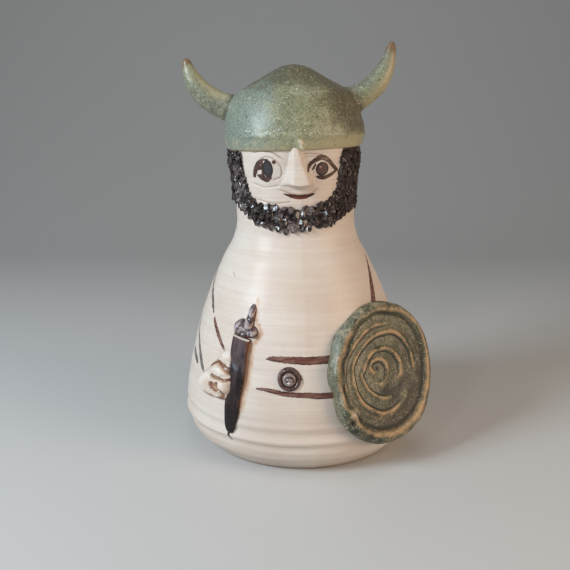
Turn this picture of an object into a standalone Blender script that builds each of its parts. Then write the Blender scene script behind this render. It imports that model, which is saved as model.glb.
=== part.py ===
# A hand-thrown stoneware viking figurine, fired in one piece.
#
# A turned body runs up into the head. A helmet with two horns, a nose, hair and beard,
# a button, a hand, a short sword and a round shield were stuck onto its wall with slip.
# Metres, +Z up. The figure looks along -Y and stands on the floor at z = 0.
# Azimuths are degrees from -Y towards +X, which is the viewer's right.

import math

import bmesh
import bpy
from mathutils import Vector

# Driving dimensions of the turned wall
CROWN_HEIGHT = 0.200
CROWN_SHIFT = -0.0034
FOOT_SHIFT = 0.0012
FOOT_RADIUS = 0.0514
LIP_RADIUS = 0.0586
BELLY_RADIUS = 0.0618
WAIST_RADIUS = 0.0570
CHEST_RADIUS = 0.0480
SHOULDER_RADIUS = 0.0392
NECK_RADIUS = 0.0312
CHEEK_RADIUS = 0.0317
BROW_RADIUS = 0.0336

# Helmet and horns
HELMET_RADIUS = 0.0366
HELMET_OVERHANG = 0.0014
RIM_TILT = math.radians(1.8)
LEFT_HORN_REACH = 0.0267
LEFT_HORN_RISE = 0.0266
LEFT_HORN_RADIUS = 0.0066
RIGHT_HORN_REACH = 0.0236
RIGHT_HORN_RISE = 0.0305
RIGHT_HORN_RADIUS = 0.0062
HORN_TIP_RADIUS = 0.0010
HORN_FULLNESS = 2.9
HORN_SEAT_DEPTH = 0.0055

# Face, hair and beard
NOSE_HEIGHT = 0.0222
NOSE_DEPTH = 0.0068
NOSE_HALF_WIDTH = math.radians(20.0)
BEARD_THICKNESS = 0.0008
SCALE_RELIEF = 0.0013

# Shield
SHIELD_RADIUS = 0.0355
SHIELD_ROUNDING = 0.0045
SHIELD_THICKNESS = 0.0095
SHIELD_SKEW = 0.0010
SHIELD_STAND_OFF = 0.0049
SHIELD_HOLLOW = 0.0019
SPIRAL_RIDGE_HEIGHT = 0.0011
SPIRAL_RIDGE_HALF_WIDTH = 0.0016
SPIRAL_TURNS = 3
SPIRAL_PITCH = 0.0077
SPIRAL_DRIFT = 0.0018
NUB_RADIUS = 0.0026

# Sword, hand and button
BLADE_LENGTH = 0.0465
BLADE_WIDTH = 0.0108
BLADE_THICKNESS = 0.0030
HILT_WIDTH = 0.0120
HILT_LENGTH = 0.0090
HILT_OVERLAP = 0.0007
HILT_THICKNESS = 0.0046
GRIP_LENGTH = 0.0085
GRIP_WIDTH = 0.0060
GRIP_THICKNESS = 0.0040
GRIP_LEAN = 0.35
HAND_LENGTH = 0.0245
HAND_WIDTH = 0.0185
HAND_THICKNESS = 0.0078
HAND_GROOVE = 0.0015
BUTTON_RADIUS = 0.0056
BUTTON_THICKNESS = 0.0016

# How far a stuck-on piece reaches into the wall under it, and how far its edge lies under the skin
ROOTED = 0.0022
EDGE_SINK = 0.0004

# Places on the wall: azimuth in degrees and share of the crown height
SHIELD_PLACE = (45.8, 0.248)
SHIELD_TURN = math.radians(38.8)
SHIELD_TILT = math.radians(16.6)
SHIELD_SKEW_ANGLE = math.radians(70.0)
BUTTON_PLACE = (-3.4, 0.254)
HAND_PLACE = (-40.0, 0.245)
HAND_SLANT = math.radians(24.0)
BLADE_SPINE = (-33.4, 0.338)
HILT_PLACE = (-26.6, 0.338)
NOSE_TOP = (1.6, 0.812)
HORN_ROOT_SHARE_LEFT = 0.8815
HORN_ROOT_SHARE_RIGHT = 0.9025
RIM_SHARE = 0.790

# The wall's stations from the foot to the top, as share of the height and radius
BELLY_SHARE = 0.100
WALL = (
    (0.000, FOOT_RADIUS),
    (0.038, LIP_RADIUS),
    (0.060, 0.34 * LIP_RADIUS + 0.66 * BELLY_RADIUS),
    (BELLY_SHARE, BELLY_RADIUS),
    (0.150, 0.99 * BELLY_RADIUS),
    (0.250, WAIST_RADIUS),
    (0.330, 0.55 * WAIST_RADIUS + 0.45 * CHEST_RADIUS),
    (0.400, CHEST_RADIUS),
    (0.500, SHOULDER_RADIUS),
    (0.560, 0.22 * SHOULDER_RADIUS + 0.78 * NECK_RADIUS),
    (0.605, NECK_RADIUS),
    (0.700, CHEEK_RADIUS),
    (0.790, BROW_RADIUS),
    (0.850, 0.95 * BROW_RADIUS),
    (0.930, 0.30 * BROW_RADIUS),
)
WALL_RINGS = (0.0, 0.038, 0.046, 0.06, 0.08, 0.10, 0.125, 0.15, 0.19, 0.23, 0.27, 0.31, 0.35, 0.39, 0.43,
              0.465, 0.50, 0.53, 0.56, 0.58, 0.605, 0.65, 0.70, 0.745, 0.775, 0.85, 0.93)

# The helmet's stations from the rim to the crown, as share of the height and of its radius
HELMET = ((0.790, 0.957), (0.803, 0.982), (0.820, 1.000), (0.840, 0.994), (0.865, 0.958), (0.892, 0.905),
          (0.920, 0.828), (0.935, 0.748), (0.950, 0.618), (0.965, 0.468), (0.980, 0.325), (0.993, 0.180),
          (1.000, 0.020))

# How each stuck-on piece is shaped, as shares of its own length, width, radius or thickness
HORN_PULLS = ((0.60, 0.16), (0.92, 0.43))
NOSE_BRIDGE_SHARE = 0.14
NOSE_BRIDGE_RELIEF = 0.30
NOSE_UNDERSIDE = 0.16
SPIRAL_START = 0.57
SPIRAL_FALL = 0.14
SPIRAL_PHASE = 0.08
SHIELD_PAD = ((0.62, 1.25), (0.30, 1.60))
BLADE_SECTION = ((0.0, 0.0), (0.07, 1.0), (0.5, 1.06), (0.93, 1.0), (1.0, 0.0))
BLADE_SWELL = 0.25
BLADE_TAPER = 0.72
BLADE_POINT = 0.12
HILT_WAIST = 0.22
HILT_LUMPS = 0.22
GRIP_START = 0.75
GRIP_TAPER = 0.72
HAND_TAPER = 0.30
HAND_ROLLS = (1.6, 0.45)
BUTTON_SECTION = ((1.00, -0.2), (0.97, 0.75), (0.80, 1.0), (0.66, 0.45), (0.54, 0.85), (0.20, 0.95))

TURN_STEPS = 48
HORN_STEPS = 12
HORN_RINGS = 10
SHIELD_STEPS = 44
ROUNDING_STEPS = 5
BUTTON_STEPS = 20
HAIR_COLUMNS = 78
HAIR_ROWS = 6

# The hair and beard's lower and upper edge, from the nape round the viewer's left cheek, the chin and
# the right cheek back to the nape: azimuth and share below, azimuth and share above
HAIR = (
    (-180, 0.640, -180, 0.808),
    (-120, 0.640, -120, 0.806),
    (-85, 0.646, -72, 0.804),
    (-66, 0.642, -50, 0.780),
    (-55, 0.636, -52, 0.716),
    (-47, 0.629, -47, 0.674),
    (-37, 0.614, -37, 0.656),
    (-24, 0.602, -25, 0.651),
    (-7, 0.592, -9, 0.647),
    (7, 0.600, 6, 0.648),
    (22, 0.603, 20, 0.655),
    (34, 0.609, 31, 0.669),
    (46, 0.622, 40, 0.702),
    (56, 0.636, 41, 0.745),
    (68, 0.645, 44, 0.812),
    (85, 0.646, 75, 0.814),
    (120, 0.642, 120, 0.812),
    (180, 0.640, 180, 0.808),
)


def smooth_curve(stations, at):
    """Value at a place on a smooth curve through the stations, each a pair of place and value."""
    last = len(stations) - 1
    at = min(max(at, stations[0][0]), stations[last][0])
    i = 0
    while i < last - 1 and at > stations[i + 1][0]:
        i += 1
    (x0, y0), (x1, y1) = stations[i], stations[i + 1]
    rise = (y1 - y0) / (x1 - x0)
    before = (y0 - stations[i - 1][1]) / (x0 - stations[i - 1][0]) if i > 0 else rise
    after = (stations[i + 2][1] - y1) / (stations[i + 2][0] - x1) if i < last - 1 else rise
    start = 2 * before * rise / (before + rise) if before * rise > 0 else 0.0
    end = 2 * after * rise / (after + rise) if after * rise > 0 else 0.0
    t = (at - x0) / (x1 - x0)
    width = x1 - x0
    return ((2 * t ** 3 - 3 * t ** 2 + 1) * y0 + (t ** 3 - 2 * t ** 2 + t) * width * start
            + (3 * t ** 2 - 2 * t ** 3) * y1 + (t ** 3 - t ** 2) * width * end)


def leant(point):
    """The point moved sideways by the throw's slight lean, which grows with height."""
    return Vector((point.x + CROWN_SHIFT * point.z / CROWN_HEIGHT, point.y, point.z))


def wall_point(azimuth, share, out=0.0):
    """A point on the turned wall, or standing out from it."""
    angle = math.radians(azimuth)
    radius = smooth_curve(WALL, share) + out
    shift = FOOT_SHIFT * max(0.0, 1.0 - share / BELLY_SHARE)
    return leant(Vector((radius * math.sin(angle) + shift, -radius * math.cos(angle), share * CROWN_HEIGHT)))


def clay(name, colour, roughness, coat):
    """A glazed or slipped stoneware material."""
    material = bpy.data.materials.new(name)
    material.use_nodes = True
    shader = material.node_tree.nodes["Principled BSDF"]
    shader.inputs["Base Color"].default_value = (*colour, 1.0)
    shader.inputs["Roughness"].default_value = roughness
    shader.inputs["Coat Weight"].default_value = coat
    material.diffuse_color = (*colour, 1.0)
    return material


def loft(name, rings, material, joined=False, crease=38.0, raised=None):
    """A closed solid through rings of points, capped at its ends or joined to itself.

    Where raised(ring, point) tells the high points of a chequered relief, each face is split between
    its low points, so every high point is the top of a small pyramid.
    """
    bm = bmesh.new()
    rows = [[bm.verts.new(point) for point in ring] for ring in rings]
    count = len(rows[0])
    pairs = list(zip(rows, rows[1:]))
    if joined:
        pairs.append((rows[-1], rows[0]))
    else:
        bm.faces.new(rows[0])
        bm.faces.new(rows[-1])
    for k, (low, high) in enumerate(pairs):
        for i in range(count):
            j = (i + 1) % count
            corners = (low[i], low[j], high[j], high[i])
            if raised is None:
                bm.faces.new(corners)
            else:
                turn = 1 if raised(k, i) else 0
                for first in (turn, turn + 2):
                    bm.faces.new((corners[first % 4], corners[(first + 1) % 4], corners[(first + 2) % 4]))
    bmesh.ops.recalc_face_normals(bm, faces=bm.faces[:])
    mesh = bpy.data.meshes.new(name)
    bm.to_mesh(mesh)
    bm.free()
    mesh.materials.append(material)
    mesh.shade_smooth()
    mesh.set_sharp_from_angle(angle=math.radians(crease))
    piece = bpy.data.objects.new(name, mesh)
    bpy.context.scene.collection.objects.link(piece)
    return piece


def patch(name, columns, rows, place, material, joined=False, crease=38.0, raised=None):
    """Clay laid on the wall: place(s, t) gives azimuth, share of the height and how far it stands out."""
    rings = []
    for i in range(columns + (0 if joined else 1)):
        spots = [place(i / columns, j / rows) for j in range(rows + 1)]
        outer = [wall_point(*spot) for spot in spots]
        inner = [wall_point(azimuth, share, -ROOTED) for azimuth, share, _ in reversed(spots)]
        rings.append(outer + inner)
    return loft(name, rings, material, joined, crease, raised)


def stick_on(body, piece):
    """Unite a piece with the body, as slip and the kiln do."""
    piece.hide_render = True
    piece.display_type = "WIRE"
    joint = body.modifiers.new(piece.name, "BOOLEAN")
    joint.operation = "UNION"
    joint.solver = "EXACT"
    joint.material_mode = "TRANSFER"
    joint.object = piece


def make_body(material):
    """The thrown wall from the foot to inside the helmet."""
    rings = []
    for share in WALL_RINGS:
        rings.append([wall_point(360.0 * i / TURN_STEPS, share) for i in range(TURN_STEPS)])
    return loft("viking_figurine", rings, material)


def helmet_point(azimuth, share, radius):
    """A point of the helmet, whose rim is tilted and higher at the viewer's right."""
    angle = math.radians(azimuth)
    x = radius * math.sin(angle)
    z = share * CROWN_HEIGHT + x * math.tan(RIM_TILT) * (1.0 - share) / (1.0 - RIM_SHARE)
    return leant(Vector((x, -radius * math.cos(angle), z)))


def make_helmet(material):
    """The bowl of the helmet, slightly proud of the brow."""
    stations = [(RIM_SHARE + 0.008, 0.85 * BROW_RADIUS), (RIM_SHARE, BROW_RADIUS + HELMET_OVERHANG)]
    stations += [(share, width * HELMET_RADIUS) for share, width in HELMET[1:]]
    rings = []
    for share, radius in stations:
        rings.append([helmet_point(360.0 * (i + 0.5) / TURN_STEPS, share, radius) for i in range(TURN_STEPS)])
    return loft("helmet", rings, material, crease=50.0)


def helmet_radius(share):
    """Radius of the helmet at a share of the height."""
    return smooth_curve(HELMET, share) * HELMET_RADIUS


def make_horn(name, side, root_share, reach, rise, thickness, material):
    """A pulled horn that leaves the helmet sideways and curls up, thinning to a blunt tip."""
    root = Vector((side * (helmet_radius(root_share) - HORN_SEAT_DEPTH), 0.0, root_share * CROWN_HEIGHT))
    ends = [root]
    for out, up in (*HORN_PULLS, (1.0, 1.0)):
        ends.append(root + Vector((side * out * reach, 0.0, up * rise)))
    rings = []
    for k in range(HORN_RINGS + 1):
        t = k / HORN_RINGS
        weights = ((1 - t) ** 3, 3 * t * (1 - t) ** 2, 3 * t ** 2 * (1 - t), t ** 3)
        centre = sum((w * e for w, e in zip(weights, ends)), Vector())
        slopes = (3 * (1 - t) ** 2, 6 * t * (1 - t), 3 * t ** 2)
        along = sum((w * (b - a) for w, a, b in zip(slopes, ends, ends[1:])), Vector()).normalized()
        across = Vector((0.0, 1.0, 0.0)).cross(along)
        radius = HORN_TIP_RADIUS + (thickness - HORN_TIP_RADIUS) * (1 - t ** HORN_FULLNESS)
        ring = []
        for i in range(HORN_STEPS):
            angle = 2 * math.pi * i / HORN_STEPS
            point = centre + radius * (math.cos(angle) * across + math.sin(angle) * Vector((0.0, 1.0, 0.0)))
            ring.append(leant(point))
        rings.append(ring)
    return loft(name, rings, material, crease=60.0)


def make_nose(material):
    """A pinched wedge that starts as a thin bridge under the rim and widens to a square base."""
    def place(s, t):
        across = 2 * s - 1
        half_width = math.degrees(NOSE_HALF_WIDTH) * (NOSE_BRIDGE_SHARE + (1 - NOSE_BRIDGE_SHARE) * t ** 1.5)
        azimuth = NOSE_TOP[0] + across * half_width
        share = NOSE_TOP[1] - t * NOSE_HEIGHT / CROWN_HEIGHT
        under = min(1.0, (1.0 - t) / NOSE_UNDERSIDE)
        depth = NOSE_DEPTH * (NOSE_BRIDGE_RELIEF + (1 - NOSE_BRIDGE_RELIEF) * t)
        out = depth * under * (1 - abs(across)) ** 1.25
        return azimuth, share, out - EDGE_SINK
    return patch("nose", 10, 9, place, material)


def hair_edges(s):
    """The four numbers of HAIR at a share of the way round the head, measured along the band's middle."""
    middles = [(0.5 * (a + c) / 360.0, 1.6 * (b + d)) for a, b, c, d in HAIR]
    steps = [math.hypot(q[0] - p[0], q[1] - p[1]) for p, q in zip(middles, middles[1:])]
    target = s * sum(steps)
    i = 0
    while i < len(steps) - 1 and target > steps[i]:
        target -= steps[i]
        i += 1
    t = target / steps[i]
    return [a + (b - a) * t for a, b in zip(HAIR[i], HAIR[i + 1])]


def make_hair(material):
    """Hair and beard as one band of small pyramids of clay, closed round the back of the head."""
    def raised(column, row):
        return (column + row) % 2 == 1

    def place(s, t):
        column = round(s * HAIR_COLUMNS)
        row = round(t * HAIR_ROWS)
        low_azimuth, low_share, high_azimuth, high_share = hair_edges(s)
        if 0 < row < HAIR_ROWS:
            t += 0.25 * math.sin(2.4 * column + 1.7 * row) / HAIR_ROWS
        azimuth = low_azimuth + (high_azimuth - low_azimuth) * t
        share = low_share + (high_share - low_share) * t
        out = BEARD_THICKNESS
        if row in (0, HAIR_ROWS):
            out = -EDGE_SINK
        elif raised(column, row):
            out += SCALE_RELIEF * (0.8 + 0.2 * math.sin(5.1 * column + 3.3 * row))
        return azimuth, share, out
    return patch("hair_and_beard", HAIR_COLUMNS, HAIR_ROWS, place, material,
                 joined=True, crease=12.0, raised=raised)


def spiral_radius(turn, angle):
    """Radius of one turn of the finger-made spiral, drifting outwards and falling back at the lower right."""
    share = (angle / (2 * math.pi) + SPIRAL_PHASE) % 1.0
    drift = min(share / (1.0 - SPIRAL_FALL), (1.0 - share) / SPIRAL_FALL)
    return SPIRAL_PITCH * (turn + SPIRAL_START) + SPIRAL_DRIFT * (drift - 0.5)


def make_shield(material):
    """A thick disc with a rolled lip, a hollowed face, a spiral ridge and a pad of clay behind it."""
    normal = Vector((math.sin(SHIELD_TURN) * math.cos(SHIELD_TILT),
                     -math.cos(SHIELD_TURN) * math.cos(SHIELD_TILT), math.sin(SHIELD_TILT)))
    right = Vector((math.cos(SHIELD_TURN), math.sin(SHIELD_TURN), 0.0))
    up = normal.cross(right)
    centre = wall_point(*SHIELD_PLACE, SHIELD_STAND_OFF)
    floor = -SHIELD_HOLLOW
    lip = SHIELD_RADIUS - SHIELD_ROUNDING

    def section(angle):
        swell = SHIELD_SKEW * math.cos(angle - SHIELD_SKEW_ANGLE)
        points = [(0.35 * NUB_RADIUS, floor + 0.9 * SPIRAL_RIDGE_HEIGHT), (NUB_RADIUS, floor)]
        for turn in range(SPIRAL_TURNS):
            ridge = spiral_radius(turn, angle)
            if turn > 0:
                points.append((ridge - SPIRAL_RIDGE_HALF_WIDTH, floor))
            points.append((ridge, floor + SPIRAL_RIDGE_HEIGHT))
            points.append((ridge + SPIRAL_RIDGE_HALF_WIDTH, floor))
        points.append((lip - 1.7 * SPIRAL_RIDGE_HALF_WIDTH + swell, floor))
        for step in range(ROUNDING_STEPS + 1):
            turned = math.pi * step / ROUNDING_STEPS
            points.append((lip + swell + SHIELD_ROUNDING * math.sin(turned),
                           0.5 * SHIELD_THICKNESS * (math.cos(turned) - 1.0)))
        for width, depth in SHIELD_PAD:
            points.append((width * SHIELD_RADIUS, -depth * SHIELD_THICKNESS))
        return points

    sections = []
    for i in range(SHIELD_STEPS):
        angle = 2 * math.pi * i / SHIELD_STEPS
        ray = math.cos(angle) * right + math.sin(angle) * up
        sections.append([centre + radius * ray + height * normal for radius, height in section(angle)])
    return loft("shield", [list(ring) for ring in zip(*sections)], material, crease=60.0)


def on_wall(start, along, across):
    """Azimuth and share of the height at metres along and across from a place, measured on the wall."""
    share = start[1] + along / CROWN_HEIGHT
    azimuth = start[0] + math.degrees(across / smooth_curve(WALL, share))
    return azimuth, share


def make_blade(material):
    """The blade, a slab with a straight back at the viewer's left, a curved edge and a point below."""
    def place(s, t):
        side, height = BLADE_SECTION[round(t * (len(BLADE_SECTION) - 1))]
        out = BLADE_THICKNESS * height if height > 0 else -EDGE_SINK
        width = BLADE_WIDTH * (1.0 + BLADE_SWELL * s - BLADE_TAPER * s ** 2.2)
        back = max(0.0, (s + BLADE_POINT - 1.0) / BLADE_POINT) * 0.92 * width
        azimuth, share = on_wall(BLADE_SPINE, -s * BLADE_LENGTH, back + side * (width - back))
        return azimuth, share, out
    return patch("sword_blade", 12, len(BLADE_SECTION) - 1, place, material)


def make_hilt(material):
    """The pinched guard, a row of thumbed lumps over the top of the blade."""
    def place(s, t):
        across = 2 * s - 1
        along = 2 * t - 1
        lump = 1.0 + HILT_LUMPS * math.cos(3.1 * math.pi * s + 0.6) * math.cos(2.2 * math.pi * t)
        dome = max(0.0, 1 - abs(across) ** 3) * max(0.0, 1 - abs(along) ** 3)
        waist = 1.0 - HILT_WAIST * along * along
        azimuth, share = on_wall(HILT_PLACE, HILT_LENGTH * (t + 0.09 * across) - HILT_OVERLAP,
                                 0.5 * HILT_WIDTH * across * waist)
        return azimuth, share, HILT_THICKNESS * dome * lump - EDGE_SINK
    return patch("sword_guard", 9, 8, place, material, crease=25.0)


def make_grip(material):
    """The grip, a small leaning cone above the guard."""
    def place(s, t):
        across = 2 * s - 1
        half = 0.5 * GRIP_WIDTH * (1.0 - GRIP_TAPER * t)
        start = (HILT_PLACE[0], HILT_PLACE[1] + GRIP_START * HILT_LENGTH / CROWN_HEIGHT)
        azimuth, share = on_wall(start, GRIP_LENGTH * t, across * half + GRIP_LEAN * GRIP_LENGTH * t)
        tip = 1.0 if t < 1.0 else 0.2
        out = GRIP_THICKNESS * (1.0 - 0.5 * t) * math.sqrt(max(0.0, 1 - across * across)) * tip
        return azimuth, share, out - EDGE_SINK
    return patch("sword_grip", 6, 5, place, material, crease=30.0)


def make_hand(material):
    """The hand, a fist rolled from a strip of clay, wider below, with its fingers as slanting rolls."""
    def place(s, t):
        across = 2 * s - 1
        along = 2 * t - 1
        narrow = math.sqrt(1 - 0.90 * along * along) * (1.0 - HAND_TAPER * along)
        x = 0.5 * HAND_WIDTH * across * narrow
        y = 0.5 * HAND_LENGTH * along
        groove = 0.5 - 0.5 * math.cos(2 * math.pi * (HAND_ROLLS[0] * along + HAND_ROLLS[1] * across))
        dome = max(0.0, 1 - abs(across) ** 2.6) ** 0.6 * max(0.0, 1 - abs(along) ** 4) ** 0.6
        out = dome * (HAND_THICKNESS - HAND_GROOVE * groove)
        u = x * math.cos(HAND_SLANT) + y * math.sin(HAND_SLANT)
        v = y * math.cos(HAND_SLANT) - x * math.sin(HAND_SLANT)
        azimuth, share = on_wall(HAND_PLACE, v, u)
        return azimuth, share, out - EDGE_SINK
    return patch("hand", 12, 15, place, material, crease=30.0)


def make_button(material):
    """The belt's button, a pressed disc with a raised ring round a raised middle."""
    rings = []
    for width, height in ((1.0, -ROOTED / BUTTON_THICKNESS), *BUTTON_SECTION):
        ring = []
        for i in range(BUTTON_STEPS):
            angle = 2 * math.pi * i / BUTTON_STEPS
            azimuth, share = on_wall(BUTTON_PLACE, BUTTON_RADIUS * width * math.sin(angle),
                                     BUTTON_RADIUS * width * math.cos(angle))
            ring.append(wall_point(azimuth, share, BUTTON_THICKNESS * height))
        rings.append(ring)
    return loft("belt_button", rings, material, crease=40.0)


def main():
    for old in list(bpy.data.objects):
        bpy.data.objects.remove(old, do_unlink=True)
    slip = clay("white_slip", (0.80, 0.74, 0.67), 0.55, 0.1)
    green = clay("green_glaze", (0.20, 0.24, 0.13), 0.30, 0.5)
    brown = clay("dark_brown_glaze", (0.045, 0.025, 0.02), 0.22, 0.8)
    body = make_body(slip)
    stick_on(body, make_helmet(green))
    stick_on(body, make_horn("horn_left", -1, HORN_ROOT_SHARE_LEFT, LEFT_HORN_REACH, LEFT_HORN_RISE,
                             LEFT_HORN_RADIUS, green))
    stick_on(body, make_horn("horn_right", 1, HORN_ROOT_SHARE_RIGHT, RIGHT_HORN_REACH, RIGHT_HORN_RISE,
                             RIGHT_HORN_RADIUS, green))
    stick_on(body, make_nose(slip))
    stick_on(body, make_hair(brown))
    stick_on(body, make_button(brown))
    stick_on(body, make_blade(brown))
    stick_on(body, make_hilt(brown))
    stick_on(body, make_grip(brown))
    stick_on(body, make_hand(slip))
    stick_on(body, make_shield(green))


main()
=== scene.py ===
# A thrown stoneware viking figurine: its clay, its glazes and its brush strokes
import math

import bmesh
import bpy
import numpy as np
from mathutils import Matrix, Vector, noise


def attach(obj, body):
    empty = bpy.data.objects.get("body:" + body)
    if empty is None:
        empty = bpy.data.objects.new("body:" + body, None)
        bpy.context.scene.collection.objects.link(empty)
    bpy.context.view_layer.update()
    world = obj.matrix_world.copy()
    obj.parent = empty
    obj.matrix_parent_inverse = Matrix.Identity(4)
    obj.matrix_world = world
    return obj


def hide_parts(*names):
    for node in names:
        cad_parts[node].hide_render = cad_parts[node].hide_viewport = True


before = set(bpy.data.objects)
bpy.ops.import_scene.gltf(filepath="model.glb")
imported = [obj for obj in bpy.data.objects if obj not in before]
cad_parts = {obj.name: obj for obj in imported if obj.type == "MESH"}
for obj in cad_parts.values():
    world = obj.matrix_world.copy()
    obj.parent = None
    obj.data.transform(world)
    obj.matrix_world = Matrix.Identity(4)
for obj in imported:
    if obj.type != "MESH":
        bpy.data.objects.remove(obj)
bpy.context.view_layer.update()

mm = 0.001               # every piece is modelled in millimetres and comes to metres at its end
np.random.seed(7)


# What a mesh is started and grown with
def vertsOf(parts):
    return [part for part in parts if isinstance(part, bmesh.types.BMVert)]


def sweepEdges(bm, edges, step):
    # moves a copy of the edges by one step, with faces between, and gives its corners and edges
    grown = bmesh.ops.extrude_edge_only(bm, edges=edges)["geom"]
    corners = vertsOf(grown)
    bmesh.ops.translate(bm, verts=corners, vec=step)
    fresh = [part for part in grown if isinstance(part, bmesh.types.BMEdge)]
    return corners, [edge for edge in fresh if all(corner in corners for corner in edge.verts)]


def turned(profile, steps, start=(0.0, -1.0), merge=0.002):
    # spins a line of radii and heights once round, from the side that start names
    bm = bmesh.new()
    chain = [bm.verts.new((radius * start[0], radius * start[1], height)) for radius, height in profile]
    edges = [bm.edges.new(pair) for pair in zip(chain, chain[1:])]
    bmesh.ops.spin(bm, geom=chain + edges, cent=(0, 0, 0), axis=(0, 0, 1), dvec=(0, 0, 0),
                   angle=2 * math.pi, steps=steps, use_merge=True, use_duplicate=False)
    bmesh.ops.remove_doubles(bm, verts=bm.verts[:], dist=merge)
    return bm


def claySlab(columns, rows):
    # a closed slab from -0.5 to 0.5 each way, with its skin at 0 and its root at -1
    bm = bmesh.new()
    bmesh.ops.create_grid(bm, x_segments=columns, y_segments=rows, size=0.5)
    under = bmesh.ops.extrude_face_region(bm, geom=bm.faces[:])["geom"]
    bmesh.ops.translate(bm, verts=vertsOf(under), vec=(0, 0, -1))
    return bm


def smoothed(bm, verts, rounds):
    for _ in range(rounds):
        bmesh.ops.smooth_vert(bm, verts=verts, factor=0.5, use_axis_x=True, use_axis_y=True, use_axis_z=True)


# Camera, floor and lights
viewValues = {
    "place": (0.0, -400.0, 179.0),
    "turn": 1.10,            # degrees to the left
    "down": 13.43,
    "focalPixels": 750.0,
    "framePixels": 570.0,
    "floorColour": (0.54, 0.54, 0.53, 1.0),
    "floorEdge": ((-2.5, -2.0, 0.0), (2.5, -2.0, 0.0)),      # metres, its front edge
    "floorSweeps": ((0.0, 3.2, 0.0), (0.0, 0.0, 2.4)),       # the floor, then the wall behind it
    "floorFold": 0.7,
    "worldColour": (0.84, 0.86, 0.90, 1.0),
    "worldStrength": 0.22,
    "lights": [              # name, place, aims at, size, watts, colour
        ("softLeft", (-610, -390, 460), (0, 0, 110), 320, 6.2, (0.80, 0.91, 1.0)),
        ("softRight", (560, -310, 250), (10, 0, 90), 380, 2.1, (1.0, 0.74, 0.52)),
        ("softTop", (40, -80, 720), (0, 0, 120), 380, 0.7, (1.0, 0.95, 0.88)),
        ("glint", (-220, -560, 360), (0, 0, 130), 80, 0.35, (1.0, 1.0, 1.0)),
    ],
}


def makeCamera():
    data = bpy.data.cameras.new("camera")
    data.sensor_width = 36.0
    data.lens = data.sensor_width * viewValues["focalPixels"] / viewValues["framePixels"]
    data.clip_start = 0.01
    camera = bpy.data.objects.new("camera", data)
    camera.location = Vector(viewValues["place"]) * mm
    camera.rotation_euler = (math.radians(90.0 - viewValues["down"]), 0.0, math.radians(viewValues["turn"]))
    bpy.context.scene.collection.objects.link(camera)
    bpy.context.scene.camera = camera


def makeLights():
    for name, place, aim, size, watts, colour in viewValues["lights"]:
        data = bpy.data.lights.new(name, "AREA")
        data.shape = "DISK"
        data.size = size * mm
        data.energy = watts
        data.color = colour
        light = bpy.data.objects.new(name, data)
        light.location = Vector(place) * mm
        light.rotation_euler = (Vector(aim) - Vector(place)).to_track_quat("-Z", "Y").to_euler()
        bpy.context.scene.collection.objects.link(light)
    world = bpy.data.worlds.new("studio")
    world.use_nodes = True
    background = world.node_tree.nodes["Background"]
    background.inputs["Color"].default_value = viewValues["worldColour"]
    background.inputs["Strength"].default_value = viewValues["worldStrength"]
    bpy.context.scene.world = world
    bpy.context.scene.view_settings.view_transform = "Standard"


def makeFloor():
    bm = bmesh.new()
    edges = [bm.edges.new([bm.verts.new(place) for place in viewValues["floorEdge"]])]
    for step in viewValues["floorSweeps"]:
        _, edges = sweepEdges(bm, edges, step)
    fold = [edge for edge in bm.edges if len(edge.link_faces) == 2]
    bmesh.ops.bevel(bm, geom=fold, offset=viewValues["floorFold"], segments=24, profile=0.5, affect="EDGES",
                    material=-1)
    mesh = bpy.data.meshes.new("floor")
    bmesh.ops.recalc_face_normals(bm, faces=bm.faces[:])
    bm.to_mesh(mesh)
    bm.free()
    mesh.shade_smooth()
    material = bpy.data.materials.new("paleFloor")
    material.use_nodes = True
    shader = material.node_tree.nodes["Principled BSDF"]
    shader.inputs["Base Color"].default_value = viewValues["floorColour"]
    shader.inputs["Roughness"].default_value = 0.6
    mesh.materials.append(material)
    floor = bpy.data.objects.new("floor", mesh)
    bpy.context.scene.collection.objects.link(floor)


# The turned wall, which every stuck-on piece follows
wallValues = {
    "stations": [            # height, radius
        (0.0, 51.4), (7.6, 58.6), (12.0, 60.71), (20.0, 61.8), (30.0, 61.18), (50.0, 57.0), (66.0, 52.95),
        (80.0, 48.0), (100.0, 39.2), (112.0, 32.96), (121.0, 31.2), (140.0, 31.7), (158.0, 33.6),
        (170.0, 31.92), (186.0, 10.08),
    ],
    "crownHeight": 200.0,
    "crownShift": -3.4,      # the throw leans to the left
    "footShift": 1.2,
    "bellyHeight": 20.0,
    "rooted": 2.2,           # how far a stuck-on piece reaches into the wall
}


def smoothCurve(stations, at):
    x, y = (np.array(column, float) for column in zip(*stations))
    width = np.diff(x)
    rise = np.diff(y) / width
    slope = np.concatenate(([rise[0]], np.zeros(len(rise) - 1), [rise[-1]]))
    same = rise[:-1] * rise[1:] > 0
    slope[1:-1][same] = 2 * (rise[:-1] * rise[1:])[same] / (rise[:-1] + rise[1:])[same]
    at = np.clip(at, x[0], x[-1])
    i = np.clip(np.searchsorted(x, at, side="right") - 1, 0, len(width) - 1)
    t = (at - x[i]) / width[i]
    start = (2 * t ** 3 - 3 * t ** 2 + 1) * y[i] + (t ** 3 - 2 * t ** 2 + t) * width[i] * slope[i]
    return start + (3 * t ** 2 - 2 * t ** 3) * y[i + 1] + (t ** 3 - t ** 2) * width[i] * slope[i + 1]


def wallRadius(z):
    return smoothCurve(wallValues["stations"], z)


def leanAt(z):
    foot = wallValues["footShift"] * np.maximum(0.0, 1.0 - z / wallValues["bellyHeight"])
    return wallValues["crownShift"] * z / wallValues["crownHeight"] + foot


def degreeAt(z):
    # millimetres that one degree takes on the wall at that height
    return math.radians(1.0) * float(wallRadius(z))


def onWall(azimuth, z, out=0.0):
    angle = np.radians(azimuth)
    radius = wallRadius(z) + out
    return np.stack(np.broadcast_arrays(radius * np.sin(angle) + leanAt(z), -radius * np.cos(angle), z), -1)


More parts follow.
